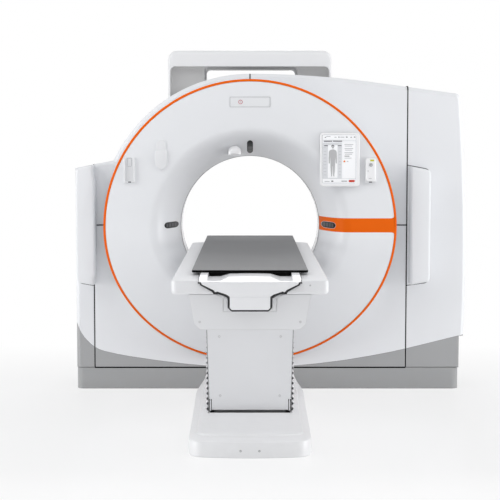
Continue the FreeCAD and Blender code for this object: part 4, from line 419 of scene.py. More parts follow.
def build_zone():
    """The grey lower zone of the covers, below a line that is curved across X."""
    tree, given = new_group("lower_zone", {"Color": GREY, "Zone": GREY}, ("Color",))
    split = node(tree, "ShaderNodeSeparateXYZ", {0: object_place(tree)})
    shifted = maths(tree, "SUBTRACT", split.outputs[0], ZONE_LEFT)
    curve = node(tree, "ShaderNodeFloatCurve",
                 {"Value": maths(tree, "DIVIDE", shifted, ZONE_WIDTH)})
    line = curve.mapping.curves[0]
    while len(line.points) < len(ZONE_LINE):
        line.points.new(0.5, 0.5)
    for point, (x, z) in zip(line.points, ZONE_LINE):
        point.location = ((x - ZONE_LEFT) / ZONE_WIDTH, z / ZONE_TOP)
        point.handle_type = "VECTOR"
    curve.mapping.update()
    edge = maths(tree, "MULTIPLY", curve.outputs[0], ZONE_TOP)
    below = maths(tree, "SUBTRACT", edge, split.outputs[2])
    mask = maths(tree, "MULTIPLY", below, ZONE_SHARPNESS, clamp=True)
    node(tree, "NodeGroupOutput",
         {"Color": colour_mix(tree, mask, given["Color"], given["Zone"])})
    return tree


groups["zone"] = build_zone()
print("zone line points", len(ZONE_LINE))

# %% [markdown]
# Every finish is one Principled shader with the groups in front of it. The
# numbers say what the surface is: colour, how matt it is, whether it is metal,
# how coarse its grain is, how round its edges are, how much painted highlight
# they get and how much dust it holds.

# %% How a finish is built
COAT_ROUGHNESS = 0.12
GRAIN_DEPTH = 0.0004


def place_group(tree, group, **values):
    """A node group placed in a material with its own values; returns its outputs."""
    return node(tree, "ShaderNodeGroup", values, node_tree=groups[group]).outputs


def finish(name, colour, rough, metal=0.0, coat=0.0, grain=700.0, mottle=0.03, bump=0.05,
           edge=0.003, light=0.15, dust=0.0, brush=None, zone=None, glow=0.0,
           glow_colour=None, shine=0.5):
    """Builds a material by name; the CAD pieces already use the slot materials."""
    material = bpy.data.materials.get(name) or bpy.data.materials.new(name)
    material.use_nodes = True
    tree = material.node_tree
    tree.nodes.clear()
    if brush:
        base = place_group(tree, "brush", Color=(*colour, 1.0), Roughness=rough, Stretch=brush)
    else:
        base = place_group(tree, "grain", Color=(*colour, 1.0), Roughness=rough, Scale=grain,
                           Mottle=mottle)
    tint = base["Color"]
    matt = base["Roughness"]
    if zone:
        tint = place_group(tree, "zone", Color=tint, Zone=(*zone, 1.0))["Color"]
    if dust > 0.0:
        dusty = place_group(tree, "dust", Color=tint, Roughness=matt, Amount=dust)
        tint = dusty["Color"]
        matt = dusty["Roughness"]
    # The edges get a rounded normal and a painted highlight, as strong as light asks.
    edge_lit = place_group(tree, "edges", Color=tint, Radius=edge, Light=light)
    relief = node(tree, "ShaderNodeBump", {"Strength": bump, "Distance": GRAIN_DEPTH,
                                           "Height": base["Height"], "Normal": edge_lit["Normal"]})
    shader = node(tree, "ShaderNodeBsdfPrincipled", {
        "Base Color": edge_lit["Color"], "Roughness": matt, "Metallic": metal,
        "Normal": relief.outputs["Normal"], "Coat Weight": coat,
        "Coat Roughness": COAT_ROUGHNESS, "Specular IOR Level": shine})
    if glow > 0.0:
        shader.inputs["Emission Strength"].default_value = glow
        shader.inputs["Emission Color"].default_value = (*(glow_colour or colour), 1.0)
    node(tree, "ShaderNodeOutputMaterial", {"Surface": shader.outputs[0]})
    return material


print("groups to build finishes from", sorted(groups))

# %% [markdown]
# These are the finishes of the CAD pieces. The covers are painted mouldings with
# a thin clear coat, the table is a little glossier because it is wiped often, and
# the machine inside is bare metal and dull grey paint. The brush marks on the
# rotor's pieces run along Y, which is the direction of its axis.

# %% Finishes
ALONG_X = (9.0, 900.0, 900.0)
ALONG_Y = (900.0, 9.0, 900.0)
ALONG_Z = (900.0, 900.0, 9.0)
finish("cover_white", (0.80, 0.81, 0.83), 0.42, coat=0.12, edge=0.012, dust=0.04,
       zone=(0.37, 0.373, 0.378))
finish("bridge_white", (0.76, 0.765, 0.775), 0.40, coat=0.1, edge=0.008)
# A darker copy of the bridge's white: painted shade for the recess in its legs.
finish("recess_white", (0.56, 0.557, 0.555), 0.5, edge=0.004, light=0.05)
finish("plinth_grey", (0.355, 0.36, 0.365), 0.55, edge=0.01, dust=0.18)
finish("liner_white", (0.86, 0.86, 0.88), 0.22, coat=0.4, bump=0.02)
finish("trim_orange", (0.82, 0.130, 0.004), 0.45, edge=0.001, light=0.0, mottle=0.06,
       shine=0.08)
finish("dark_window", (0.010, 0.010, 0.012), 0.35, bump=0.01, edge=0.001, shine=0.25)
finish("display_glass", (0.80, 0.81, 0.825), 0.25, coat=0.5, edge=0.001, bump=0.01)
finish("dome_white", (0.88, 0.88, 0.89), 0.18, coat=0.6, bump=0.01)
finish("dock_grey", (0.77, 0.775, 0.79), 0.45, edge=0.002, light=0.5)
finish("tablet_white", (0.88, 0.88, 0.89), 0.30, coat=0.2, edge=0.002)
finish("screen_glass", (0.86, 0.87, 0.89), 0.16, coat=0.4, edge=0.0005, glow=0.10)
finish("button_grey", (0.62, 0.625, 0.64), 0.6, edge=0.0006)
finish("frame_grey", (0.33, 0.34, 0.35), 0.5, edge=0.003, dust=0.6, grain=300.0)
finish("rail_grey", (0.27, 0.27, 0.28), 0.5, edge=0.002, grain=300.0)
finish("bearing_steel", (0.60, 0.60, 0.61), 0.3, metal=1.0, brush=ALONG_Y)
finish("motor_copper", (0.42, 0.20, 0.10), 0.5, grain=180.0, mottle=0.2, bump=0.2)
finish("magnet_steel", (0.50, 0.50, 0.53), 0.32, metal=1.0, brush=ALONG_Y)
finish("drum_aluminium", (0.62, 0.63, 0.64), 0.42, metal=1.0, brush=ALONG_Y)
finish("slip_plastic", (0.10, 0.10, 0.11), 0.5, grain=400.0)
finish("tube_aluminium", (0.68, 0.68, 0.69), 0.35, metal=1.0, brush=ALONG_X)
finish("collimator_grey", (0.26, 0.27, 0.28), 0.5, grain=300.0)
finish("detector_aluminium", (0.45, 0.46, 0.48), 0.4, metal=1.0, brush=ALONG_X)
finish("unit_grey", (0.48, 0.49, 0.50), 0.5, grain=300.0)
finish("cooler_aluminium", (0.55, 0.56, 0.57), 0.35, metal=1.0, brush=ALONG_Z)
finish("carriage_black", (0.05, 0.05, 0.055), 0.4, metal=0.4, brush=ALONG_Z)
finish("foot_white", (0.82, 0.822, 0.83), 0.42, coat=0.12, edge=0.005, light=0.5, dust=0.05)
finish("column_white", (0.78, 0.785, 0.80), 0.42, coat=0.1, edge=0.003)
finish("stage_steel", (0.40, 0.40, 0.42), 0.35, metal=1.0, brush=ALONG_Z)
finish("bellows_grey", (0.78, 0.78, 0.79), 0.75, grain=500.0, bump=0.2, edge=0.001,
       light=0.1)
finish("body_white", (0.79, 0.795, 0.81), 0.42, coat=0.1, edge=0.006)
finish("wing_white", (0.82, 0.825, 0.84), 0.38, coat=0.15, edge=0.006)
finish("cradle_white", (0.84, 0.845, 0.86), 0.35, coat=0.2, edge=0.004)
finish("gasket_black", (0.015, 0.015, 0.017), 0.6, edge=0.001, light=0.02)
finish("plate_grey", (0.170, 0.171, 0.175), 0.5, edge=0.002, mottle=0.08, grain=500.0)
finish("spacer_black", (0.004, 0.004, 0.004), 0.7, edge=0.002, light=0.0, shine=0.08)
print("finishes", len(bpy.data.materials))

# %% [markdown]
# The front cover is the big dished shape round the bore. In CAD its funnel is a
# few straight cones. Here it is one smooth surface: for each place across the
# front (x, z) a formula gives the depth y. The upper half of the face is flat,
# the lower half leans back on a long arc, and the funnel curves in to the bore.

# %% Shape of the front
ISO = 1.011                  # height of the bore's centre
FACE = -0.400                # y of the flat face
FACE_ARC = 1.649             # radius on which its lower half leans back
MOUTH = 0.545                # radius of the funnel at the face
BORE = 0.425
FUNNEL_DEPTH = 0.305
SWELL = 0.0165               # how far the funnel bulges past a straight cone
LIP = 0.095                  # the funnel and the face blend over this depth
LIP_RADIUS = MOUTH + 0.06    # and only inside this radius
LIP_FULLNESS = 0.25
DISC = 0.876                 # the ring reaches this far to the sides,
RISE = 0.883                 # this far up from the bore's centre
DROP = 0.840                 # and this far down
RING = 0.014                 # width of the orange ring
TURNS = [2.0 * math.pi * step / 288 for step in range(288)]


def face_y(z):
    """Depth of the face at a height: flat above the bore's centre, leaning back below."""
    below = max(0.0, ISO - z)
    return FACE + FACE_ARC - math.sqrt(FACE_ARC ** 2 - below ** 2)


def front_y(x, z):
    """Depth of the front cover, with a rounded lip where the funnel starts.

    Down the funnel the radius falls by a share of its depth, plus a swell that is
    a parabola. Turned round, this is a quadratic equation for the share.
    """
    radius = math.hypot(x, z - ISO)
    flat = face_y(z)
    if radius > LIP_RADIUS:
        return flat
    a = 4.0 * SWELL
    b = BORE - MOUTH - a
    share = (-b - math.sqrt(max(0.0, b * b - 4.0 * a * (MOUTH - radius)))) / (2.0 * a)
    funnel = FACE + FUNNEL_DEPTH * share
    near = max(LIP - abs(funnel - flat), 0.0) / LIP
    return max(funnel, flat) + near * near * LIP * LIP_FULLNESS


def lifted(x, z, lift):
    """A point in front of the cover by lift."""
    return (x, front_y(x, z) - lift, z)


def rim_point(turn, inset):
    """A point on the outline of the front cover, inset from its edge, as (x, z)."""
    drop = RISE if math.sin(turn) >= 0.0 else DROP
    return ((DISC - inset) * math.cos(turn), ISO + (drop - inset) * math.sin(turn))


def rim_loop(inset, depth):
    """A loop of points along that outline, behind the face by depth."""
    corners = [rim_point(turn, inset) for turn in TURNS]
    return [(x, face_y(z) + depth, z) for x, z in corners]


print("front depth at the mouth and the bore:", round(front_y(MOUTH, ISO), 3),
      round(front_y(BORE, ISO), 3))

# %% [markdown]
# The cover is moulded in one sweep from the bore to the rim, so it is made of
# loops that start as the bore's circle and end as the ring's outline. They lie
# closer together near the bore, where the surface curves most. The cover lies a
# hair behind the CAD face, so inlays in that plane stay visible. Its rim goes
# back behind the panels.

# %% Front cover
CLEAR = 0.0008               # kept free of the bore's edge and of the ring
SUNK = 0.0006
CROWDING = 1.35              # above one, loops crowd near the bore
COVER_ROWS = 52
COVER_RETURN = 0.004         # the outer edge turns back this far
RIM_BACK = -0.156
BEHIND_ALL = 1.0             # any depth that lies past RIM_BACK
RIM_INSET = 0.0004
RIM_DEPTHS = (0.010, 0.011, BEHIND_ALL)
RIM_LEDGE = 0.992            # its front edge turns in to this share of the outline
loops = []
for share in [0.0, 0.004] + spread(0.0, 1.0, COVER_ROWS)[1:-1] + [0.985, 0.994, 1.0]:
    loop = []
    for turn in TURNS:
        outer_x, outer_z = rim_point(turn, RING + CLEAR)
        reach = math.hypot(outer_x, outer_z - ISO)
        radius = BORE + CLEAR + (reach - BORE - CLEAR) * share ** CROWDING
        loop.append(lifted(radius * outer_x / reach, ISO + radius * (outer_z - ISO) / reach,
                           -SUNK))
    loops.append(loop)
loops.append([(x, y + COVER_RETURN, z) for x, y, z in loops[-1]])
cover = loops_piece("front_shell", loops, "cover_white")
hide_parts("front_cover", "front_funnel")

loops = [[(x, min(y, RIM_BACK), z) for x, y, z in rim_loop(RIM_INSET, depth)]
         for depth in RIM_DEPTHS]
loops.insert(0, [(x * RIM_LEDGE, y, ISO + (z - ISO) * RIM_LEDGE) for x, y, z in loops[0]])
loops_piece("front_shell_rim", loops, "cover_white")
print("front cover triangles", 2 * len(cover.data.polygons))

# %% [markdown]
# The orange trim is a painted plastic ring round the cover, with one branch: a
# band that runs from the right of the bore to the ring and widens into it with
# small fillets. The ring is a swept section with a round outer edge. The band and
# the fillets are thin sheets laid on the cover's own surface, so they follow the
# funnel exactly.

# %% Orange ring and band
BAND_LOW = 0.984
BAND_HIGH = 1.068
FILLET = 0.018
BAND_INTO_RING = 0.002
BAND_FROM_BORE = 0.0006
# inset from the outline, and depth behind the face
RING_SECTION = ((RING, 0.006), (RING, 0.0006), (RING - 0.0006, 0.0), (0.0032, 0.0),
                (0.0016, 0.0006), (0.0005, 0.0018), (0.0, 0.0036), (0.0, 0.0088))
# distance outside the bore, and lift
SEAM_SECTION = ((CLEAR, 0.0), (CLEAR, 0.0006), (0.0030, 0.0006), (0.0030, 0.0))
ring = loops_piece("orange_ring", [rim_loop(inset, depth) for inset, depth in RING_SECTION],
                   "trim_orange")
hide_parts("trim_ring")


def patch(name, rows, slot, columns):
    """A thin sheet laid on the front cover: rows of (z, x from, x to)."""
    points = [lifted(x, z, 0.0) for z, x_from, x_to in rows
              for x in spread(x_from, x_to, columns - 1)]
    return piece(name, points, grid_faces(len(rows), columns), slot)


def ring_inner_x(z):
    """Inner edge of the orange ring on the right, at a height."""
    drop = RISE if z >= ISO else DROP
    return (DISC - RING + BAND_INTO_RING) * math.sqrt(1.0 - ((z - ISO) / (drop - RING)) ** 2)


def bore_x(z):
    """Edge of the bore on the right, at a height."""
    return math.sqrt((BORE + BAND_FROM_BORE) ** 2 - (z - ISO) ** 2)


patch("orange_band", [(z, bore_x(z), ring_inner_x(z)) for z in spread(BAND_LOW, BAND_HIGH, 14)],
      "trim_orange", 110)
for name, side, start in (("orange_corner_up", 1, BAND_HIGH),
                          ("orange_corner_down", -1, BAND_LOW)):
    rows = []
    corner_x = ring_inner_x(start + side * FILLET) - FILLET
    for rise in spread(0.0, FILLET, 8):
        z = start + side * rise
        left = corner_x + math.sqrt(max(0.0, FILLET ** 2 - (FILLET - rise) ** 2))
        rows.append((z, left, max(left + 0.0002, ring_inner_x(z))))
    patch(name, rows, "trim_orange", 10)
finish("seam_grey", (0.30, 0.30, 0.31), 0.5, edge=0.0004, light=0.02)
loops = [[lifted((BORE + off) * math.cos(turn), ISO + (BORE + off) * math.sin(turn), lift)
          for turn in TURNS] for off, lift in SEAM_SECTION]
loops_piece("bore_seam", loops, "cover_white", material="seam_grey")
print("band height in mm", round(1000 * (BAND_HIGH - BAND_LOW)))

# %% [markdown]
# Between the big covers run black rubber seals with a T-shaped section. Their
# flanges lie a quarter of a millimetre proud on both covers, so every seam reads
# as one clean dark line. Each seal is a strip swept along a path round the shell.
# The same strip draws the fine shadow along the edge of the grey zone.

# %% Seals between the covers
SURROUND = -0.170            # y of the panels round the front cover
BACK = 0.430
BEVEL = 0.0196               # the panels' outer edges
PLINTH = 0.132
SEAM_LEFT, SEAM_RIGHT = -0.958, 0.961
SEAM_LEVEL = 1.014
RING_SIDE = 0.874
CROWN_TOP = 1.936
PROUD = 0.00025
SEAL_DEPTH = 0.002
SEAL_HALF = 0.0033           # half the width that is seen
FOOT_SEAL_HALF = 0.0042
LEVEL_SEAL_HALF = 0.0036
ZONE_LINE_HALF = 0.0011
FRONTWARD = (0, -1, 0)
ACROSS_X, ACROSS_Z = (1, 0, 0), (0, 0, 1)
finish("seal_black", (0.006, 0.006, 0.006), 0.7, edge=0.0004, light=0.0, shine=0.1)


def seal(name, path, across, material="seal_black", half=SEAL_HALF):
    """A seal strip along a path of (place, outward) pairs; across is its width direction."""
    side = Vector(across) * half
    loops = []
    for place, outward in path:
        outside = Vector(place) + Vector(outward).normalized() * PROUD
        inside = Vector(place) - Vector(outward).normalized() * SEAL_DEPTH
        loops.append([outside - side, outside + side, inside + side, inside - side])
    return loops_piece(name, loops, "cover_white", "gantry", True, True, material)


def flat_seal(name, line, half, material="seal_black", y=SURROUND, outward=FRONTWARD):
    """A seal on a flat panel, along a line of (x, z) points."""
    return seal(name, [((x, y, z), outward) for x, z in line], ACROSS_Z, material, half)


def seam_over(name, x, top):
    """A seal that climbs the front, passes over the top and goes down the back."""
    front_top = top - BEVEL
    seal(name, [((x, SURROUND, PLINTH), FRONTWARD), ((x, SURROUND, front_top), (0, -1, 0.4)),
                ((x, SURROUND + BEVEL, top), (0, -0.4, 1)),
                ((x, BACK - BEVEL, top), (0, 0.4, 1)),
                ((x, BACK, front_top), (0, 1, 0.4)), ((x, BACK, PLINTH), (0, 1, 0))], ACROSS_X)


seam_over("seal_left", SEAM_LEFT, 1.3847)
seam_over("seal_right", SEAM_RIGHT, 1.8618)
foot_line = ((SEAM_LEFT, PLINTH), (SEAM_RIGHT, PLINTH))
flat_seal("seal_foot_front", foot_line, FOOT_SEAL_HALF)
flat_seal("seal_foot_back", foot_line, FOOT_SEAL_HALF, y=BACK, outward=(0, 1, 0))
for word, x_from, x_to in (("left", SEAM_LEFT, -RING_SIDE), ("right", RING_SIDE, SEAM_RIGHT)):
    flat_seal("seal_level_" + word, ((x_from, SEAM_LEVEL), (x_to, SEAM_LEVEL)), LEVEL_SEAL_HALF)
seal("seal_above_ring", [((0.0, SURROUND, 1.885), FRONTWARD),
                         ((0.0, SURROUND, CROWN_TOP - BEVEL), (0, -1, 0.4)),
                         ((0.0, SURROUND + BEVEL, CROWN_TOP), (0, -0.4, 1)),
                         ((0.0, -0.11, CROWN_TOP), (0, 0, 1))], ACROSS_X)
finish("tower_shadow", (0.075, 0.075, 0.08), 0.6, edge=0.0004, light=0.0, shine=0.2)
finish("zone_shadow", (0.20, 0.20, 0.205), 0.6, edge=0.0004, light=0.02)
flat_seal("zone_line", ZONE_LINE[2:-1], ZONE_LINE_HALF, "zone_shadow")
print("seals are", 2000 * SEAL_HALF, "mm wide")

# %% [markdown]
# A slim tower stands at each side of the front and holds a positioning laser.
# Its front edges are round and its top and bottom are a little slanted. The
# outline comes from a few corner points, and the plate helper gives it depth and
# a round edge. Dark strips on the panel along its top and bottom are painted shadow.

# %% Side towers
TOWER_FRONT = -0.300
TOWER_BACK = -0.1705
TOWER_EDGE = 0.010
TOWER_SHADE_HALF = 0.0024
TOWER_LEFT = [(-0.9500, 1.3840), (-1.0000, 1.3752), (-1.0180, 1.3700), (-1.0320, 1.3640),
              (-1.0430, 1.3520), (-1.0490, 1.3360), (-1.0515, 1.3150), (-1.0520, 0.7188),
              (-1.0505, 0.6930), (-1.0455, 0.6790), (-1.0350, 0.6700), (-0.9490, 0.6550),
              (-0.9480, 0.7000), (-0.9415, 0.7200), (-0.9415, 1.2950), (-0.9490, 1.3120)]
TOWER_RIGHT = [(0.9750, 0.6570), (1.0720, 0.6740), (1.0810, 0.6790), (1.0870, 0.6880),
               (1.0900, 0.7050), (1.0900, 1.3300), (1.0880, 1.3420), (1.0820, 1.3500),
               (1.0720, 1.3550), (0.9750, 1.3740)]
for outline, word in ((TOWER_LEFT, "left"), (TOWER_RIGHT, "right")):
    made = plate("tower_" + word, refined(outline, 0.03), TOWER_FRONT, TOWER_BACK,
                 "cover_white", bevel=TOWER_EDGE)
    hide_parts(word + "_tower")
# Dark strips on the panel above and below each tower: painted shadow.
for word, line in (
        ("top", ((0.9640, 1.3805), (1.0760, 1.3590), (1.0900, 1.3520), (1.0960, 1.3420))),
        ("right", ((0.9640, 0.6420), (1.0760, 0.6570), (1.0900, 0.6640))),
        ("left", ((-0.9610, 0.6410), (-1.0350, 0.6540), (-1.0480, 0.6620)))):
    flat_seal("tower_gap_" + word, line, TOWER_SHADE_HALF, "tower_shadow")
print("towers stand proud by", round(1000 * (SURROUND - TOWER_FRONT)), "mm")

# %% [markdown]
# Three dark windows in the funnel let the laser lines out. Each is a pill of
# tinted glass with a thin frame, and a few grey bars show the optics behind it.
# All lie on the funnel's own surface, one in front of the other, since a flat
# pane would dip into the curve.

# %% Laser windows
PILL_SHARES = (1.0, 0.86, 0.7, 0.5, 0.3, 0.12)
BAR_ROWS = (-0.0112, -0.004, 0.004, 0.0112)
FRAME_WIDTH = 0.0014
FRAME_LIFT, GLASS_LIFT, BAR_LIFT = 0.0004, 0.0008, 0.0013
SIDE_BARS = ((-0.027, 0.010), (-0.013, 0.012), (0.003, 0.009), (0.016, 0.010))
TOP_BARS = ((-0.030, 0.013), (-0.014, 0.016))
finish("lens_grey", (0.085, 0.085, 0.09), 0.45, shine=0.3, bump=0.0)


def pill(name, x, z, half_x, half_z, slot, lift):
    """A pill-shaped sheet laid on the funnel, made of loops that shrink inwards."""
    outline = refined(round_box(x - half_x, x + half_x, z - half_z, z + half_z,
                                min(half_x, half_z) - 0.0001, steps=10), 0.004)
    points = [lifted(x + (px - x) * share, z + (pz - z) * share, lift)
              for share in PILL_SHARES for px, pz in outline]
    faces = grid_faces(len(PILL_SHARES), len(outline), closed=True)
    faces.append(tuple(range(len(points) - len(outline), len(points))))
    return piece(name, points, faces, slot)


def window(name, x, z, half_x, half_z, cad_node, bars):
    """A framed dark pane with grey bars, each given as (start, length) along the pill."""
    pill(name + "_frame", x, z, half_x + FRAME_WIDTH, half_z + FRAME_WIDTH, "dock_grey",
         FRAME_LIFT)
    glass = pill(name + "_glass", x, z, half_x, half_z, "dark_window", GLASS_LIFT)
    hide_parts(cad_node)
    for index, (start, size) in enumerate(bars):
        points = []
        for off in spread(start, start + size, 6):
            for wide in BAR_ROWS:
                px, pz = (x + off, z + wide) if half_x > half_z else (x + wide, z + off)
                points.append(lifted(px, pz, BAR_LIFT))
        piece(f"{name}_lens_{index}", points, grid_faces(7, 4), "dark_window",
              material="lens_grey")


window("window_left", -0.476, ISO + 0.010, 0.038, 0.0185, "laser_window_left", SIDE_BARS)
window("window_right", 0.476, ISO + 0.010, 0.038, 0.0185, "laser_window_right", SIDE_BARS)
window("window_top", 0.0, ISO + 0.482, 0.018, 0.039, "laser_window_top", TOP_BARS)
print("windows placed", 3)

# %% [markdown]
# The white hood beside the top window covers a camera. It is a glossy cap, round
# at the top and square below. Loops of that outline grow from one point on its
# face to full size, which gives the domed front, and the last one goes back into
# the funnel.

# %% Camera hood
HOOD_X = -0.092
HOOD_R = 0.040
HOOD_ARC_Z = 1.461           # centre of its round top
HOOD_LOW = 1.4430
HOOD_MIDDLE = HOOD_LOW + 0.016
HOOD_Y = -0.318
HOOD_DOME = 0.024            # how far the front swells
HOOD_BACK = -0.150
outline = arc(HOOD_X, HOOD_ARC_Z, HOOD_R, HOOD_R, 0.0, 180.0, 24)
outline += [(HOOD_X - HOOD_R + 0.001, HOOD_LOW + 0.003), (HOOD_X - HOOD_R + 0.004, HOOD_LOW),
            (HOOD_X + HOOD_R - 0.004, HOOD_LOW), (HOOD_X + HOOD_R - 0.001, HOOD_LOW + 0.003)]
outline = refined(outline, 0.006)
loops = []
for step in range(1, 13):
    angle = math.radians(90.0 * step / 12)
    reach = math.sin(angle)
    loops.append([(HOOD_X + (x - HOOD_X) * reach, HOOD_Y - HOOD_DOME * math.cos(angle),
                   HOOD_MIDDLE + (z - HOOD_MIDDLE) * reach) for x, z in outline])
loops.append(at_depth(outline, HOOD_BACK))
hood = loops_piece("camera_hood", loops, "dome_white", cap_first=True)
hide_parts("camera_dome")
print("camera hood points", len(loops) * len(outline))

# %% [markdown]
# The display window over the bore is a flush pane with a thin dark line round it
# and a small red ring that lights up. Ring and dot are raised under a millimetre,
# so that they don't flicker in the pane's own plane.

# %% Display window
SIGNAL = (-0.056, 1.7585)
SIGNAL_FRONT, SIGNAL_BACK = -0.4008, -0.3999
finish("signal_red", (0.46, 0.045, 0.075), 0.4, bump=0.0, glow=0.08, shine=0.1,
       glow_colour=(0.9, 0.15, 0.18))
hoop("display_outline", round_box(-0.1195, 0.1195, 1.7285, 1.7885, 0.004), 0.0016,
     -0.4009, -0.3995, "display_glass", material="seam_grey")
hoop("signal_ring", circle(*SIGNAL, 0.0125, 40), 0.0028, SIGNAL_FRONT, SIGNAL_BACK,
     "display_glass", material="signal_red")
plate("signal_dot", circle(*SIGNAL, 0.0022, 16), SIGNAL_FRONT, SIGNAL_BACK, "display_glass",
      material="signal_red")
print("display lies at z", SIGNAL[1])

# %% [markdown]
# A tablet and a hand remote hang on the face, to the right of the bore. The same
# two holders are empty on the left. A tablet holder is a plate shaped like a
# keyhole, and a remote sits in a small tray. Both are plates that stand a few
# millimetres proud of the face.

# %% Docks and trays
DOCK_HALF = 0.0355
PAD_Z, PAD_DROP = 1.406, 0.047       # middle and lower half height of its oval pad
SHOULDER_Z, SHOULDER = 1.458, 0.014  # height and radius of its shoulders
NECK_HALF, NECK_LOW, NECK_TOP, NECK_ROUND = 0.0290, 1.440, 1.533, 0.024
PAD_FACE, NECK_FACE = -0.4095, -0.4045
TRAY_LOW = 1.281
TRAY_HIGH = 1.429
ON_FACE = -0.3995            # plates start half a millimetre inside the face
finish("page_grey", (0.38, 0.39, 0.41), 0.3, coat=0.3, bump=0.0)
finish("page_pale", (0.70, 0.71, 0.735), 0.2, coat=0.3, bump=0.0, glow=0.05)
finish("page_dark", (0.07, 0.07, 0.08), 0.3, coat=0.3, bump=0.0)


def dock(label, centre):
    """A keyhole plate: a neck with rounded shoulders over an oval pad."""
    pad = arc(centre, PAD_Z, DOCK_HALF, PAD_DROP, 180.0, 360.0, 24)
    for side, start in ((1, 0.0), (-1, 90.0)):
        pad += arc(centre + side * (DOCK_HALF - SHOULDER), SHOULDER_Z, SHOULDER, SHOULDER,
                   start, start + 90.0, 6)
    plate(f"dock_pad_{label}", pad, PAD_FACE, ON_FACE, "dock_grey", bevel=0.0028)
    stem = round_box(centre - NECK_HALF, centre + NECK_HALF, NECK_LOW, NECK_TOP, NECK_ROUND,
                     steps=8)
    made = plate(f"dock_neck_{label}", stem, NECK_FACE, ON_FACE, "dock_grey", bevel=0.0024)
    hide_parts(f"tablet_dock_{label}")


def tray(label, centre):
    """A tray for a remote: raised sides, a notch at the top, a lip at the foot and painted
    shadow in the lip's gap.
    """
    def part(word, x, half, low, high, radius, front, back, bevel=0.0, material=None):
        return plate(f"tray_{word}", round_box(x - half, x + half, low, high, radius), front,
                     back, "dock_grey", bevel=bevel, material=material)

    base = part(f"base_{label}", centre, 0.0325, TRAY_LOW, TRAY_HIGH, 0.004, -0.4025, ON_FACE,
                bevel=0.001)
    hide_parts(f"remote_holder_{label}")
    for side, word in ((-1, "near"), (1, "far")):
        part(f"side_{label}_{word}", centre + side * 0.0285, 0.0038, TRAY_LOW,
             TRAY_HIGH - 0.002, 0.0034, -0.4135, -0.4015, bevel=0.0025)
        part(f"lip_{label}_{word}", centre + side * 0.0185, 0.0085, TRAY_LOW,
             TRAY_LOW + 0.009, 0.003, -0.4125, -0.4015, bevel=0.002)
    hoop(f"tray_notch_{label}", round_box(centre - 0.0135, centre + 0.0135, TRAY_HIGH - 0.052,
                                          TRAY_HIGH - 0.002, 0.006), 0.0016, -0.4032, -0.4020,
         "dock_grey", material="page_grey")
    # The dark plate in the gap of the lip is painted shadow.
    part(f"foot_{label}", centre, 0.009, TRAY_LOW, TRAY_LOW + 0.006, 0.002, -0.4030, -0.4020,
         material="page_dark")


dock("left", -0.5275)
dock("right", 0.5330)
tray("left", -0.7165)
tray("right", 0.7165)
print("tray height in mm", round(1000 * (TRAY_HIGH - TRAY_LOW)))

# %% [markdown]
# The bellows round the column is cloth with glued pleats. It could be a flat
# sheet with a pleated picture, but the pleats show at its edges.

# %% Bellows
FOLDS = 22
FOLD_STEPS = 8               # rows for each fold
FOLD = 0.013
FOLD_TIP = 0.8               # below one, the valleys are wider than the tips
BELLOWS_LOW = 0.095
BELLOWS_HIGH = 0.698
HALF = 0.233
CORNER = 0.016
FRONT = -1.363
FLANGE_Y = FRONT - 0.0004    # where the cloth is held behind the front panel
REAR = -0.880


def bellows_path(depth):
    """Plan of the bellows from the front left corner round the rear, as (x, y)."""
    half = HALF - depth
    rear = REAR - depth
    flange = HALF - min(depth, 0.0045)
    path = [(-flange, FLANGE_Y)]
    path += [(-half, y) for y in spread(FRONT, rear - CORNER, 6)]
    path += arc(-half + CORNER, rear - CORNER, CORNER, CORNER, 180.0, 90.0, 6)[1:-1]
    path += [(x, rear) for x in spread(-half + CORNER, half - CORNER, 6)]
    path += arc(half - CORNER, rear - CORNER, CORNER, CORNER, 90.0, 0.0, 6)[1:-1]
    path += [(half, y) for y in spread(rear - CORNER, FRONT, 6)]
    return path + [(flange, FLANGE_Y)]


points = []
levels = spread(BELLOWS_LOW, BELLOWS_HIGH, FOLDS * FOLD_STEPS)
for level, z in enumerate(levels):
    wave = abs(2.0 * (level % FOLD_STEPS) / FOLD_STEPS - 1.0)
    depth = FOLD * (0.5 - 0.5 * math.cos(math.pi * wave)) ** FOLD_TIP
    points += [(x, y, z) for x, y in bellows_path(depth)]
faces = grid_faces(len(levels), len(bellows_path(0.0)))
bellows = piece("bellows_cloth", points, faces, "bellows_grey", None)
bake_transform(bellows)
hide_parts("column_bellows")
print("bellows points", len(points))

# %% [markdown]
# The bridge over the gantry is one thick moulding with soft edges, like a bent
# loaf. Its cross-section is swept along an arch: the first rows run over the back
# and the top, the next round the front edge, and the last go into the recess of
# each leg and along the underside of the bar. The recess is a darker copy of the
# bridge's white, as painted shade. There is the slot for the beam, and a dark strip
# near the back of the underside is painted shadow.

# %% Bridge
BRIDGE_LEFT = -0.501
BRIDGE_RIGHT = 0.498
BRIDGE_TOP = 2.080
BRIDGE_ROUND = 0.055
BRIDGE_FEET = (1.775, 1.900)         # the legs end on the covers, left and right
OPENING = (-0.279, 0.290)
OPENING_TOP = 1.9815
OPENING_ROUND = 0.026
OPENING_FEET = (1.875, 1.910)
EDGE_SIDE, EDGE_DOWN, EDGE_IN = 0.0115, 0.030, 0.024     # size of the round edge
BRIDGE_FRONT = -0.120
BRIDGE_BACK = 0.350
BRIDGE_UNDER = 1.9812
RECESS_FIRST = 16            # the rows between these two lie in the recess
RECESS_LAST = 22


def arch(left, right, top, radius, foot_left, foot_right):
    """An arch from its left foot over the top to its right foot, as (x, z) points."""
    path = [(left, z) for z in spread(foot_left, top - radius, 6)[:-1]]
    path += arc(left + radius, top - radius, radius, radius, 180.0, 90.0, 8)
    path += [(x, top) for x in spread(left + radius, right - radius, 12)[1:-1]]
    path += arc(right - radius, top - radius, radius, radius, 90.0, 0.0, 8)
    return path + [(right, z) for z in spread(top - radius, foot_right, 6)[1:]]


def outer_arch(side, down, radius, y):
    """The bridge's outline, inset by side at the legs and by down at the top."""
    return at_depth(arch(BRIDGE_LEFT + side, BRIDGE_RIGHT - side, BRIDGE_TOP - down, radius,
                         *BRIDGE_FEET), y)


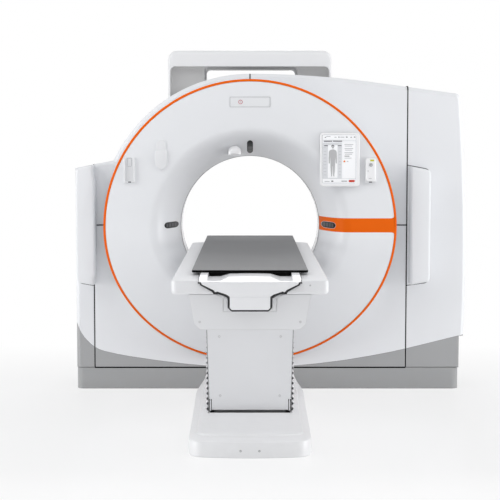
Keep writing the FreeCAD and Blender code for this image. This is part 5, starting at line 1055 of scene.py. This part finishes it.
def edge_arch(turn, y, inward):
    """A row on the round edge at the back or the front; turn goes from inside to outside."""
    back = 1.0 - math.sin(turn)
    return outer_arch(EDGE_SIDE * back, EDGE_DOWN * back, BRIDGE_ROUND - 0.010 * back,
                      y + inward * EDGE_IN * (1.0 - math.cos(turn)))


def opening_arch(grow, y):
    """The outline of the bridge's opening, larger by grow."""
    return at_depth(arch(OPENING[0] - grow, OPENING[1] + grow, OPENING_TOP,
                         OPENING_ROUND + grow, *OPENING_FEET), y)


turns = [math.radians(15.0 * step) for step in range(7)]
rows = [opening_arch(0.0, BRIDGE_BACK)]
rows += [edge_arch(turn, BRIDGE_BACK, -1) for turn in turns]
rows += [edge_arch(turn, BRIDGE_FRONT, 1) for turn in reversed(turns)]
# the front edge turns under and into the recess: inset at legs and top, radius, depth
rows += [outer_arch(*numbers) for numbers in (
    (0.0125, 0.0965, 0.030, -0.1200), (0.0135, 0.0980, 0.030, -0.1185),
    (0.0150, 0.0982, 0.030, -0.0880), (0.0200, 0.0983, 0.028, -0.0775),
    (0.0260, 0.0984, 0.028, -0.0750))]
# the recess meets the opening, which goes through to the back: growth, depth
rows += [opening_arch(*numbers) for numbers in (
    (0.006, -0.0750), (0.002, -0.0737), (0.0, -0.0690), (0.0, 0.345), (0.0, BRIDGE_BACK))]
points = [point for row in rows for point in row]
faces = grid_faces(len(rows), len(rows[0]))
first, last = (row * (len(rows[0]) - 1) for row in (RECESS_FIRST, RECESS_LAST))
bridge = piece("bridge_shell", points, faces[:first] + faces[last:], "bridge_white")
# The recess is drawn in the darker copy of the bridge's white, as painted shade.
piece("bridge_recess", points, faces[first:last], "bridge_white", material="recess_white")
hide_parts("top_bridge")
BOX_FACES = [(0, 1, 3, 2), (4, 5, 7, 6), (0, 1, 5, 4), (1, 3, 7, 5), (3, 2, 6, 7), (2, 0, 4, 6)]
# The front strip is the beam's slot; the rear dark strip is painted shadow.
for name, y, half in (("bridge_beam_slot", -0.080, 0.006), ("bridge_rear_seal", 0.341, 0.007)):
    points = [(x, y + side * half, z) for z in (BRIDGE_UNDER, BRIDGE_UNDER + 0.004)
              for side in (-1, 1) for x in (-0.240, 0.250)]
    piece(name, points, BOX_FACES, "dark_window", smooth=False)
print("bridge rows", len(rows))

# %% [markdown]
# The foot of the table is a low moulded cover. Its plan has a bowed front with
# big round corners. Going up, the outline first stands nearly upright, then turns
# over a soft rim and slopes to a flat deck. At the gantry the sides sweep out to
# the floor instead, so the profile changes gradually along the foot. The deck is
# filled in round the opening for the column.

# %% Foot of the table
FOOT_REAR_Y = -0.1703
SWEEP_START = -0.75          # from here to the rear the sides sweep out
TOE_START = -1.40            # from here to the front the deck sinks towards the toe
TOE_LENGTH = 0.48
DECK = 0.095
OPEN_FRONT = -1.402
OPEN_STEP = -1.361
OPEN_REAR = -0.899
TOE_X, TOE_WIDTH = -0.303, 0.082      # the big corner starts here and is this wide
TOE_Y, TOE_DEPTH = -1.917, 0.108
BOW_X, BOW_Y, BOW = -0.221, -2.025, 0.019    # the bowed front starts here, with this rise
FOOT_SIDE = ((FOOT_REAR_Y, -0.318), (-0.25, -0.318), (-0.33, -0.3176), (-0.42, -0.3168),
             (-0.52, -0.3158), (-0.62, -0.3145), (-0.72, -0.313), (-0.84, -0.3114),
             (-0.98, -0.3096), (-1.14, -0.3078), (-1.32, -0.3062), (-1.52, -0.305),
             (-1.72, -0.304), (-1.88, -0.3032))
# height, inset all round, extra inset at the front, inset at the gantry
FOOT_LEVELS = ((0.0000, 0.0020, 0.000, 0.002), (0.0025, 0.0000, 0.000, 0.003),
               (0.0200, 0.0000, 0.001, 0.021), (0.0400, 0.0004, 0.003, 0.031),
               (0.0600, 0.0010, 0.006, 0.039), (0.0740, 0.0016, 0.012, 0.042),
               (0.0790, 0.0066, 0.016, 0.043), (0.0862, 0.0360, 0.050, 0.046),
               (0.0872, 0.0400, 0.060, 0.047), (0.0938, 0.0425, 0.063, 0.049),
               (DECK, 0.0450, 0.067, 0.051))


def foot_half():
    """Left half of the foot's plan at the floor, rear first, with its outward direction."""
    half = [(x, y, -1.0, 0.0) for y, x in FOOT_SIDE]
    for step in range(1, 13):
        angle = math.radians(90.0 * step / 13)
        half.append((TOE_X + TOE_WIDTH * (1.0 - math.cos(angle)),
                     TOE_Y - TOE_DEPTH * math.sin(angle), -math.cos(angle), -math.sin(angle)))
    for share in spread(0.0, 1.0, 8)[1:]:
        half.append((BOW_X - BOW_X * share, BOW_Y - BOW * (1.0 - (1.0 - share) ** 2),
                     0.0, -1.0))
    return half


def clamped(share):
    """A share kept between none and all."""
    return max(0.0, min(1.0, share))


loops = []
for z, inset, front, rear in FOOT_LEVELS:
    row = []
    for x, y, out_x, out_y in foot_half():
        near = clamped((y - SWEEP_START) / (FOOT_REAR_Y - SWEEP_START))
        near = near * near * (3.0 - 2.0 * near)
        amount = inset + (rear - inset) * near
        back = front * clamped((TOE_START - y) / TOE_LENGTH)
        row.append((x - out_x * amount, y - out_y * amount + back, z))
    loops.append(row + [(-x, y, z) for x, y, z in reversed(row[:-1])])
hole = [(-0.214, OPEN_REAR), (-0.214, OPEN_STEP), (-0.224, OPEN_STEP), (-0.224, OPEN_FRONT)]
hole += [(-x, y) for x, y in reversed(hole)]
deck = [[Vector(point) for point in loops[-1]], [Vector((x, y, DECK)) for x, y in hole]]
start = (len(loops) - 1) * len(loops[0])
points = [point for row in loops for point in row] + [tuple(point) for point in deck[1]]
faces = grid_faces(len(loops), len(loops[0]))
faces += [tuple(start + index for index in corner) for corner in tessellate_polygon(deck)]
foot = piece("foot_cover", points, faces, "foot_white")
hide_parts("table_foot_cover")
loops_piece("foot_opening", [[(x, y, z) for x, y in hole] for z in (DECK, DECK - 0.030)],
            "foot_white")
print("foot points", len(points))

# %% [markdown]
# Small black and white strips finish the foot end of the tabletop. The flat plate
# has a black edge, the rubber edge of the cap climbs on both sides to the plate,
# and two white fillers close the groove beside the keel. A light line along the
# plate's front edge is a painted highlight, and a darker line across the cap's
# front is painted shade at its crease, with a faint painted glow. All slide or
# lift with the piece that they are glued to.

# %% Foot end of the tabletop
PLATE_HALF = 0.265
PLATE_NEAR = -2.344
PLATE_FAR = -0.057
PLATE_GROW = 0.0003          # the edge lies this far outside the plate
PLATE_EDGE = (0.9312, 0.9414)
CAP_EDGE_X = 0.2259
BEAD = (0.1585, 0.8622)
FILLER_FRONT, FILLER_BACK = -2.5597, -2.5503
SIDES = ((-1, "left"), (1, "right"))
GROOVE_FILLER = ((0.1175, 0.7778), (0.1175, 0.8362), (0.1492, 0.8516), (0.1316, 0.8516),
                 (0.1137, 0.8455), (0.0986, 0.8355), (0.0986, 0.7957), (0.0820, 0.7778))
finish("edge_black", (0.003, 0.003, 0.003), 0.7, shine=0.06, bump=0.0, edge=0.0004, light=0.0)
finish("edge_light", (0.42, 0.42, 0.43), 0.4, bump=0.0)
plan = round_box(-PLATE_HALF - PLATE_GROW, PLATE_HALF + PLATE_GROW, PLATE_NEAR - PLATE_GROW,
                 PLATE_FAR + PLATE_GROW, 0.016)
loops_piece("plate_edge", [[(x, y, z) for x, y in plan] for z in PLATE_EDGE],
            "plate_grey", "tabletop", material="edge_black")


def bar(name, path, half_x, half_z, slot, material):
    """A thin bar on the tabletop, along a path of (x, y, z) points that runs along Y."""
    loops = [[(x - half_x, y, z - half_z), (x + half_x, y, z - half_z),
              (x + half_x, y, z + half_z), (x - half_x, y, z + half_z)] for x, y, z in path]
    return loops_piece(name, loops, slot, "tabletop", True, True, material)


def mirrored(side, corners):
    """Corners given for the right side, on the side asked for."""
    return [(side * x, z) for x, z in corners]


# A painted highlight along the plate's front edge.
bar("plate_front_line", [(0.0, PLATE_NEAR + 0.0006, 0.9420), (0.0, PLATE_NEAR + 0.003, 0.9420)],
    PLATE_HALF - 0.014, 0.0003, "plate_grey", "edge_light")
for side, label in SIDES:
    x = side * CAP_EDGE_X
    bar("cap_edge_" + label, [(x, -2.5895, 0.9080), (x, -2.570, 0.9080), (x, -2.460, 0.9290),
                              (x, -2.330, 0.9290)], 0.0027, 0.0019, "gasket_black", "edge_black")
    plate("gasket_bead_" + label, circle(side * BEAD[0], BEAD[1], 0.0030, 20), -2.5900, -2.5800,
          "gasket_black", "tabletop")
    plate("groove_filler_" + label, mirrored(side, GROOVE_FILLER), FILLER_FRONT, FILLER_BACK,
          "body_white", "table_frame")
# Painted shade at the crease across the cap's front, with a faint painted glow.
plate("cap_crease", [(-0.0935, 0.8458), (0.0935, 0.8458), (0.0935, 0.8466), (-0.0935, 0.8466)],
      -2.5902, -2.5890, "cradle_white", "tabletop", material="page_pale")
print("tabletop length in mm", round(1000 * (PLATE_FAR - PLATE_NEAR)))

# %% [markdown]
# The column's front panel is framed by fine dark lines, and at its foot are two
# notches with a pin in each. The dark backs of the notches are painted shadow.
# They are all flat strips on the panel and move with it.

# %% Column panel
PANEL_STRIPS = (
    ("panel_edge", ((0.2330, 0.6020), (0.2295, 0.6020), (0.2162, 0.1640), (0.2197, 0.1640)),
     -1.3706, -1.3665, "seam_grey"),
    ("panel_trim", ((0.2215, 0.106), (0.2100, 0.106), (0.2100, 0.420), (0.2215, 0.420)),
     -1.3655, -1.3641, "seam_grey"),
    # painted shadow in each notch, behind its pin
    ("notch_back", ((0.2185, 0.0990), (0.2025, 0.0990), (0.2025, 0.1615), (0.2185, 0.1615)),
     -1.3668, -1.3657, "tower_shadow"),
    ("notch_pin", ((0.2135, 0.0990), (0.2070, 0.0990), (0.2070, 0.1530), (0.2135, 0.1530)),
     -1.3698, -1.3666, None))
for side, label in SIDES:
    for word, corners, front, back, material in PANEL_STRIPS:
        plate(f"{word}_{label}", mirrored(side, corners), front, back, "column_white",
              "column_stage", material=material)
print("panel strips", len(SIDES) * len(PANEL_STRIPS))

# %% [markdown]
# The tablet shows a plain made-up page: a bar with icons, a grey figure, groups
# of text lines and a bar of buttons. A picture on the glass would be shorter to
# write, but it needs an image file. So every mark is a thin raised piece, drawn in
# millimetres from the top left corner of the screen.

# %% Tablet page
SCREEN_LEFT = 0.4285
SCREEN_TOP = 1.5645
SCREEN_Y = -0.423
PILL_Z = (1.2845, 1.2975)
finish("page_white", (0.90, 0.905, 0.92), 0.2, coat=0.3, bump=0.0, glow=0.10)
finish("page_figure", (0.50, 0.50, 0.51), 0.3, bump=0.0, shine=0.2)
finish("page_orange", (0.80, 0.20, 0.01), 0.3, bump=0.0, shine=0.1)
finish("page_red", (0.60, 0.035, 0.006), 0.3, bump=0.0, shine=0.1)


def marks(name, boxes, material, height):
    """Small rectangles on the screen: left, top, width and height."""
    points = []
    faces = []
    for x, z, width_mm, height_mm in boxes:
        start = len(points)
        x0 = SCREEN_LEFT + x / 1000.0
        z1 = SCREEN_TOP - z / 1000.0
        x1 = x0 + width_mm / 1000.0
        z0 = z1 - height_mm / 1000.0
        for y in (SCREEN_Y, SCREEN_Y - height):
            points += [(x0, y, z0), (x1, y, z0), (x1, y, z1), (x0, y, z1)]
        faces += [tuple(start + index for index in face) for face in (
            (4, 5, 6, 7), (0, 1, 5, 4), (1, 2, 6, 5), (2, 3, 7, 6), (3, 0, 4, 7))]
    return piece(name, points, faces, "screen_glass", smooth=False, material=material)


def on_screen(name, outline, material, height):
    """A flat shape on the screen, raised by height."""
    return plate(name, outline, SCREEN_Y - height, SCREEN_Y, "screen_glass", material=material)


def blob(name, x, z, radius_x, radius_z, material, height):
    """An oval mark on the screen."""
    return on_screen(name, arc(SCREEN_LEFT + x / 1000.0, SCREEN_TOP - z / 1000.0,
                               radius_x / 1000.0, radius_z / 1000.0, 0.0, 360.0, 28)[:-1],
                     material, height)


hoop("page_edge", round_box(0.4275, 0.6285, 1.2785, 1.5652, 0.010), 0.0015, -0.4233, -0.4225,
     "screen_glass", material="page_grey")
marks("page_side", [(3, 50, 113, 208)], "page_pale", 0.0002)
marks("page_panel", [(3, 3, 195, 28), (33, 62, 57, 192), (119, 46, 78, 212),
                     (3, 260, 195, 24)], "page_white", 0.0004)
marks("page_heading", [(8, 35, 50, 5.5), (63, 35, 54, 5.5), (11, 62, 22, 5), (92, 62, 22, 5),
                       (54, 271, 12, 7), (114, 272, 34, 4), (131, 124, 30, 4),
                       (14, 13, 8, 4), (94, 11, 8, 5), (139, 11, 10, 5), (186, 11, 9, 5)],
      "page_dark", 0.0005)
marks("page_icons", [(22, 9, 26, 3), (71, 12, 13, 4), (106, 12, 24, 4), (166, 12, 9, 6),
                     (6, 47, 110, 1.6), (4, 31.5, 194, 1.0), (4, 259, 194, 1.0)]
      + [(131 + 3 * (row % 2), 56 + 9 * row + 6 * (row // 2), 52 - 9 * (row % 2), 3.2)
         for row in range(6)]
      + [(131, 136, 42, 3.2), (145, 155, 10, 4), (14, 274, 30, 3.5)]
      + [(8, 76 + 20 * row, 16, 1.6) for row in range(9)]
      + [(98, 76 + 20 * row, 14, 1.6) for row in range(9)], "page_grey", 0.0005)
blob("figure_hair", 62, 66.5, 8.6, 8.0, "page_dark", 0.0006)
blob("figure_head", 62, 72, 6.6, 9.0, "page_figure", 0.0008)
body = [(66, 86), (74, 89), (82, 93), (85.5, 104), (86.5, 140), (86, 166), (82.5, 172),
        (79, 166), (77.5, 130), (75.5, 160), (76, 180), (74, 215), (71.5, 238), (73, 246),
        (66, 246), (64.5, 230), (62.8, 186)]
body += [(124 - x, z) for x, z in reversed(body)]
on_screen("figure_body", [(SCREEN_LEFT + x / 1000.0, SCREEN_TOP - z / 1000.0) for x, z in body],
          "page_figure", 0.0007)
blob("page_dot", 131, 157, 5.5, 5.5, "page_orange", 0.0007)
on_screen("page_pill", round_box(SCREEN_LEFT + 0.157, SCREEN_LEFT + 0.194, *PILL_Z, 0.0062),
          "page_red", 0.0006)
print("figure corners", len(body))

# %% [markdown]
# The hand remote gets a green strip, eight ticks round the dark centre of its
# round key, and two small marks. The ticks and the centre ride on the key, so
# they go in with it when it is pressed.

# %% Remote
REMOTE_Y = -0.426
BUTTON = (0.7165, 1.387)
BUTTON_FACE = -0.4276
TICKS_FROM, TICKS_TO, TICKS_RADIUS = 22.5, 337.5, 0.0095
finish("strip_green", (0.58, 0.62, 0.045), 0.35, bump=0.02, shine=0.2)


def remote_mark(name, outline, material):
    """A mark on the remote's body."""
    plate(name, outline, REMOTE_Y - 0.0006, REMOTE_Y + 0.001, "tablet_white", material=material)


def button_mark(name, outline, height):
    """A mark on the remote's round key."""
    plate(name, outline, BUTTON_FACE - height, BUTTON_FACE + 0.0002, "button_grey",
          "remote_pad", material="page_dark")


remote_mark("remote_strip", round_box(0.7125, 0.7350, 1.4075, 1.4185, 0.003), "strip_green")
ticks = arc(*BUTTON, TICKS_RADIUS, TICKS_RADIUS, TICKS_FROM, TICKS_TO, 7)
for index, (x, z) in enumerate(ticks):
    button_mark(f"remote_tick_{index}", circle(x, z, 0.0016, 12), 0.0005)
button_mark("remote_centre", circle(*BUTTON, 0.0034, 20), 0.0006)
remote_mark("remote_mark", round_box(0.6985, 0.7020, 1.3460, 1.3545, 0.001, 3), "page_grey")
remote_mark("remote_line", round_box(0.7045, 0.7225, 1.3050, 1.3075, 0.001, 3), "page_grey")
print("key at", BUTTON)

# %% [markdown]
# Screws hold the panels. Each one is a low round head with a small recess for the
# key, and it rides on the body of the panel that it holds. They are turned
# parts, so each is a few circles joined into a tube.

# %% Screws
PANEL_FACE = -1.370
BODY_FACE = -2.560
WING_FACE = -2.588
FOOT_FACE = -2.0405
SCREWS = (("panel_screw_0", -0.163, 0.497, PANEL_FACE, 0.0062, "column_stage"),
          ("panel_screw_1", 0.163, 0.497, PANEL_FACE, 0.0062, "column_stage"),
          ("panel_screw_2", -0.158, 0.181, PANEL_FACE, 0.0062, "column_stage"),
          ("panel_screw_3", 0.158, 0.181, PANEL_FACE, 0.0062, "column_stage"),
          ("body_screw_0", -0.222, 0.733, BODY_FACE, 0.0052, "table_frame"),
          ("body_screw_1", 0.222, 0.733, BODY_FACE, 0.0052, "table_frame"),
          ("wing_screw", 0.264, 0.898, WING_FACE, 0.0040, "table_frame"),
          ("foot_screw_0", -0.0455, 0.035, FOOT_FACE, 0.0052, "gantry"),
          ("foot_screw_1", 0.0455, 0.035, FOOT_FACE, 0.0052, "gantry"))
# share of the radius, and depth behind the face that the screw sits on
SCREW_PROFILE = ((1.0, 0.001), (1.0, -0.0008), (0.86, -0.0016), (0.5, -0.0016), (0.5, 0.0006))
finish("screw_grey", (0.56, 0.56, 0.57), 0.4, edge=0.0006)
for name, x, z, y, radius, body in SCREWS:
    loops = [at_depth(circle(x, z, radius * share, 24), y + depth)
             for share, depth in SCREW_PROFILE]
    loops_piece(name, loops, "frame_grey", body, cap_last=True,
                material="seam_grey" if "foot" in name else "screw_grey")
print("screws", len(SCREWS))

# %% [markdown]
# The room is only a floor and a white world. To the camera the floor is mostly
# white and keeps a share of the shadow, so the scanner seems to stand on paper.
# Further away it fades to pure white, which hides the edge of the floor. The
# world is pure white to the camera and a softer light for everything else.

# %% Floor and world
WHITE = (1.0, 1.0, 1.0, 1.0)
PAPER_COLOUR = (0.94, 0.94, 0.942, 1.0)
PAPER_WHITE_NEAR = 0.60      # share of pure white close to the scanner
# where the floor starts to fade to white, and how much of it each metre takes
FADE_BEHIND = (-0.4, 0.5)
FADE_ASIDE = (1.4, 0.7)
FADE_BEFORE = (-2.3, 0.8)
SKY_COLOUR = (0.97, 0.98, 1.0, 1.0)
SKY_STRENGTH = 0.50
floor_mesh = bpy.data.meshes.new("studio_floor")
floor_mesh.from_pydata([(-30.0, -14.0, 0.0), (30.0, -14.0, 0.0), (30.0, 40.0, 0.0),
                        (-30.0, 40.0, 0.0)], [], [(0, 1, 2, 3)])
floor = bpy.data.objects.new("studio_floor", floor_mesh)
scene.collection.objects.link(floor)
paper = bpy.data.materials.new("studio_paper")
paper.use_nodes = True
tree = paper.node_tree
tree.nodes.clear()
place = node(tree, "ShaderNodeNewGeometry").outputs["Position"]
across, along = node(tree, "ShaderNodeSeparateXYZ", {0: place}).outputs[:2]
behind = maths(tree, "SUBTRACT", along, FADE_BEHIND[0])
aside = maths(tree, "SUBTRACT", maths(tree, "ABSOLUTE", across), FADE_ASIDE[0])
before = maths(tree, "SUBTRACT", FADE_BEFORE[0], along)
far = 0.0
for reach, (_, rate) in ((behind, FADE_BEHIND), (aside, FADE_ASIDE), (before, FADE_BEFORE)):
    far = maths(tree, "MAXIMUM", maths(tree, "MULTIPLY", reach, rate, clamp=True), far)
rays = node(tree, "ShaderNodeLightPath").outputs
seen = maths(tree, "MAXIMUM", rays["Is Camera Ray"],
             maths(tree, "MAXIMUM", rays["Is Glossy Ray"], rays["Is Transmission Ray"]))
kept = maths(tree, "ADD", maths(tree, "MULTIPLY", far, 1.0 - PAPER_WHITE_NEAR),
             PAPER_WHITE_NEAR)
real = node(tree, "ShaderNodeBsdfPrincipled", {"Base Color": PAPER_COLOUR, "Roughness": 0.28})
white = node(tree, "ShaderNodeEmission", {"Color": WHITE, "Strength": 1.0})
mix = node(tree, "ShaderNodeMixShader", {0: maths(tree, "MULTIPLY", kept, seen),
                                         1: real.outputs[0], 2: white.outputs[0]})
node(tree, "ShaderNodeOutputMaterial", {"Surface": mix.outputs[0]})
floor_mesh.materials.append(paper)

world = bpy.data.worlds.new("studio_world")
scene.world = world
world.use_nodes = True
tree = world.node_tree
tree.nodes.clear()
rays = node(tree, "ShaderNodeLightPath").outputs
seen = maths(tree, "MAXIMUM", rays["Is Camera Ray"], rays["Is Transmission Ray"])
soft = node(tree, "ShaderNodeBackground", {"Color": SKY_COLOUR, "Strength": SKY_STRENGTH})
white = node(tree, "ShaderNodeBackground", {"Color": WHITE, "Strength": 1.0})
mix = node(tree, "ShaderNodeMixShader", {0: seen, 1: soft.outputs[0], 2: white.outputs[0]})
node(tree, "ShaderNodeOutputWorld", {"Surface": mix.outputs[0]})
print("floor is", PAPER_WHITE_NEAR, "white near the scanner")

# %% [markdown]
# A studio lights a pale machine with big soft lamps from the sides and above, so
# that its curves show as gentle shades. A weak wide one near the floor lifts the
# shadow under the table, and one behind the scanner keeps the rear from going
# dark. None of them is seen itself.

# %% Lamps
# name, place, the point it faces, its two sizes, watts
LAMPS = (("lamp_top", (0.0, -3.2, 6.0), (0.0, -1.5, 0.0), (5.0, 3.0), 40.0),
         ("lamp_high_left", (-5.2, -3.2, 5.0), (0.0, -1.2, 0.4), (3.0, 3.0), 110.0),
         ("lamp_high_right", (5.2, -3.0, 5.0), (0.0, -1.2, 0.4), (3.0, 3.0), 100.0),
         ("lamp_left", (-7.8, -2.7, 1.2), (0.0, -0.8, 0.7), (3.2, 2.4), 165.0),
         ("lamp_right", (8.0, -1.9, 1.2), (0.0, -0.8, 0.7), (3.2, 2.4), 200.0),
         ("lamp_low", (0.0, -5.6, 0.34), (0.0, -1.2, 0.4), (5.0, 0.5), 15.0),
         ("lamp_back", (0.0, 6.0, 6.5), (0.0, 0.4, 1.0), (4.0, 3.0), 110.0))
for name, place, aim, size, watts in LAMPS:
    data = bpy.data.lights.new(name, "AREA")
    data.shape = "RECTANGLE"
    data.size, data.size_y = size
    data.energy = watts
    made = bpy.data.objects.new(name, data)
    made.location = place
    made.visible_camera = False
    made.rotation_euler = (Vector(aim) - Vector(place)).to_track_quat("-Z", "Y").to_euler()
    scene.collection.objects.link(made)
print("lamps", len(LAMPS))
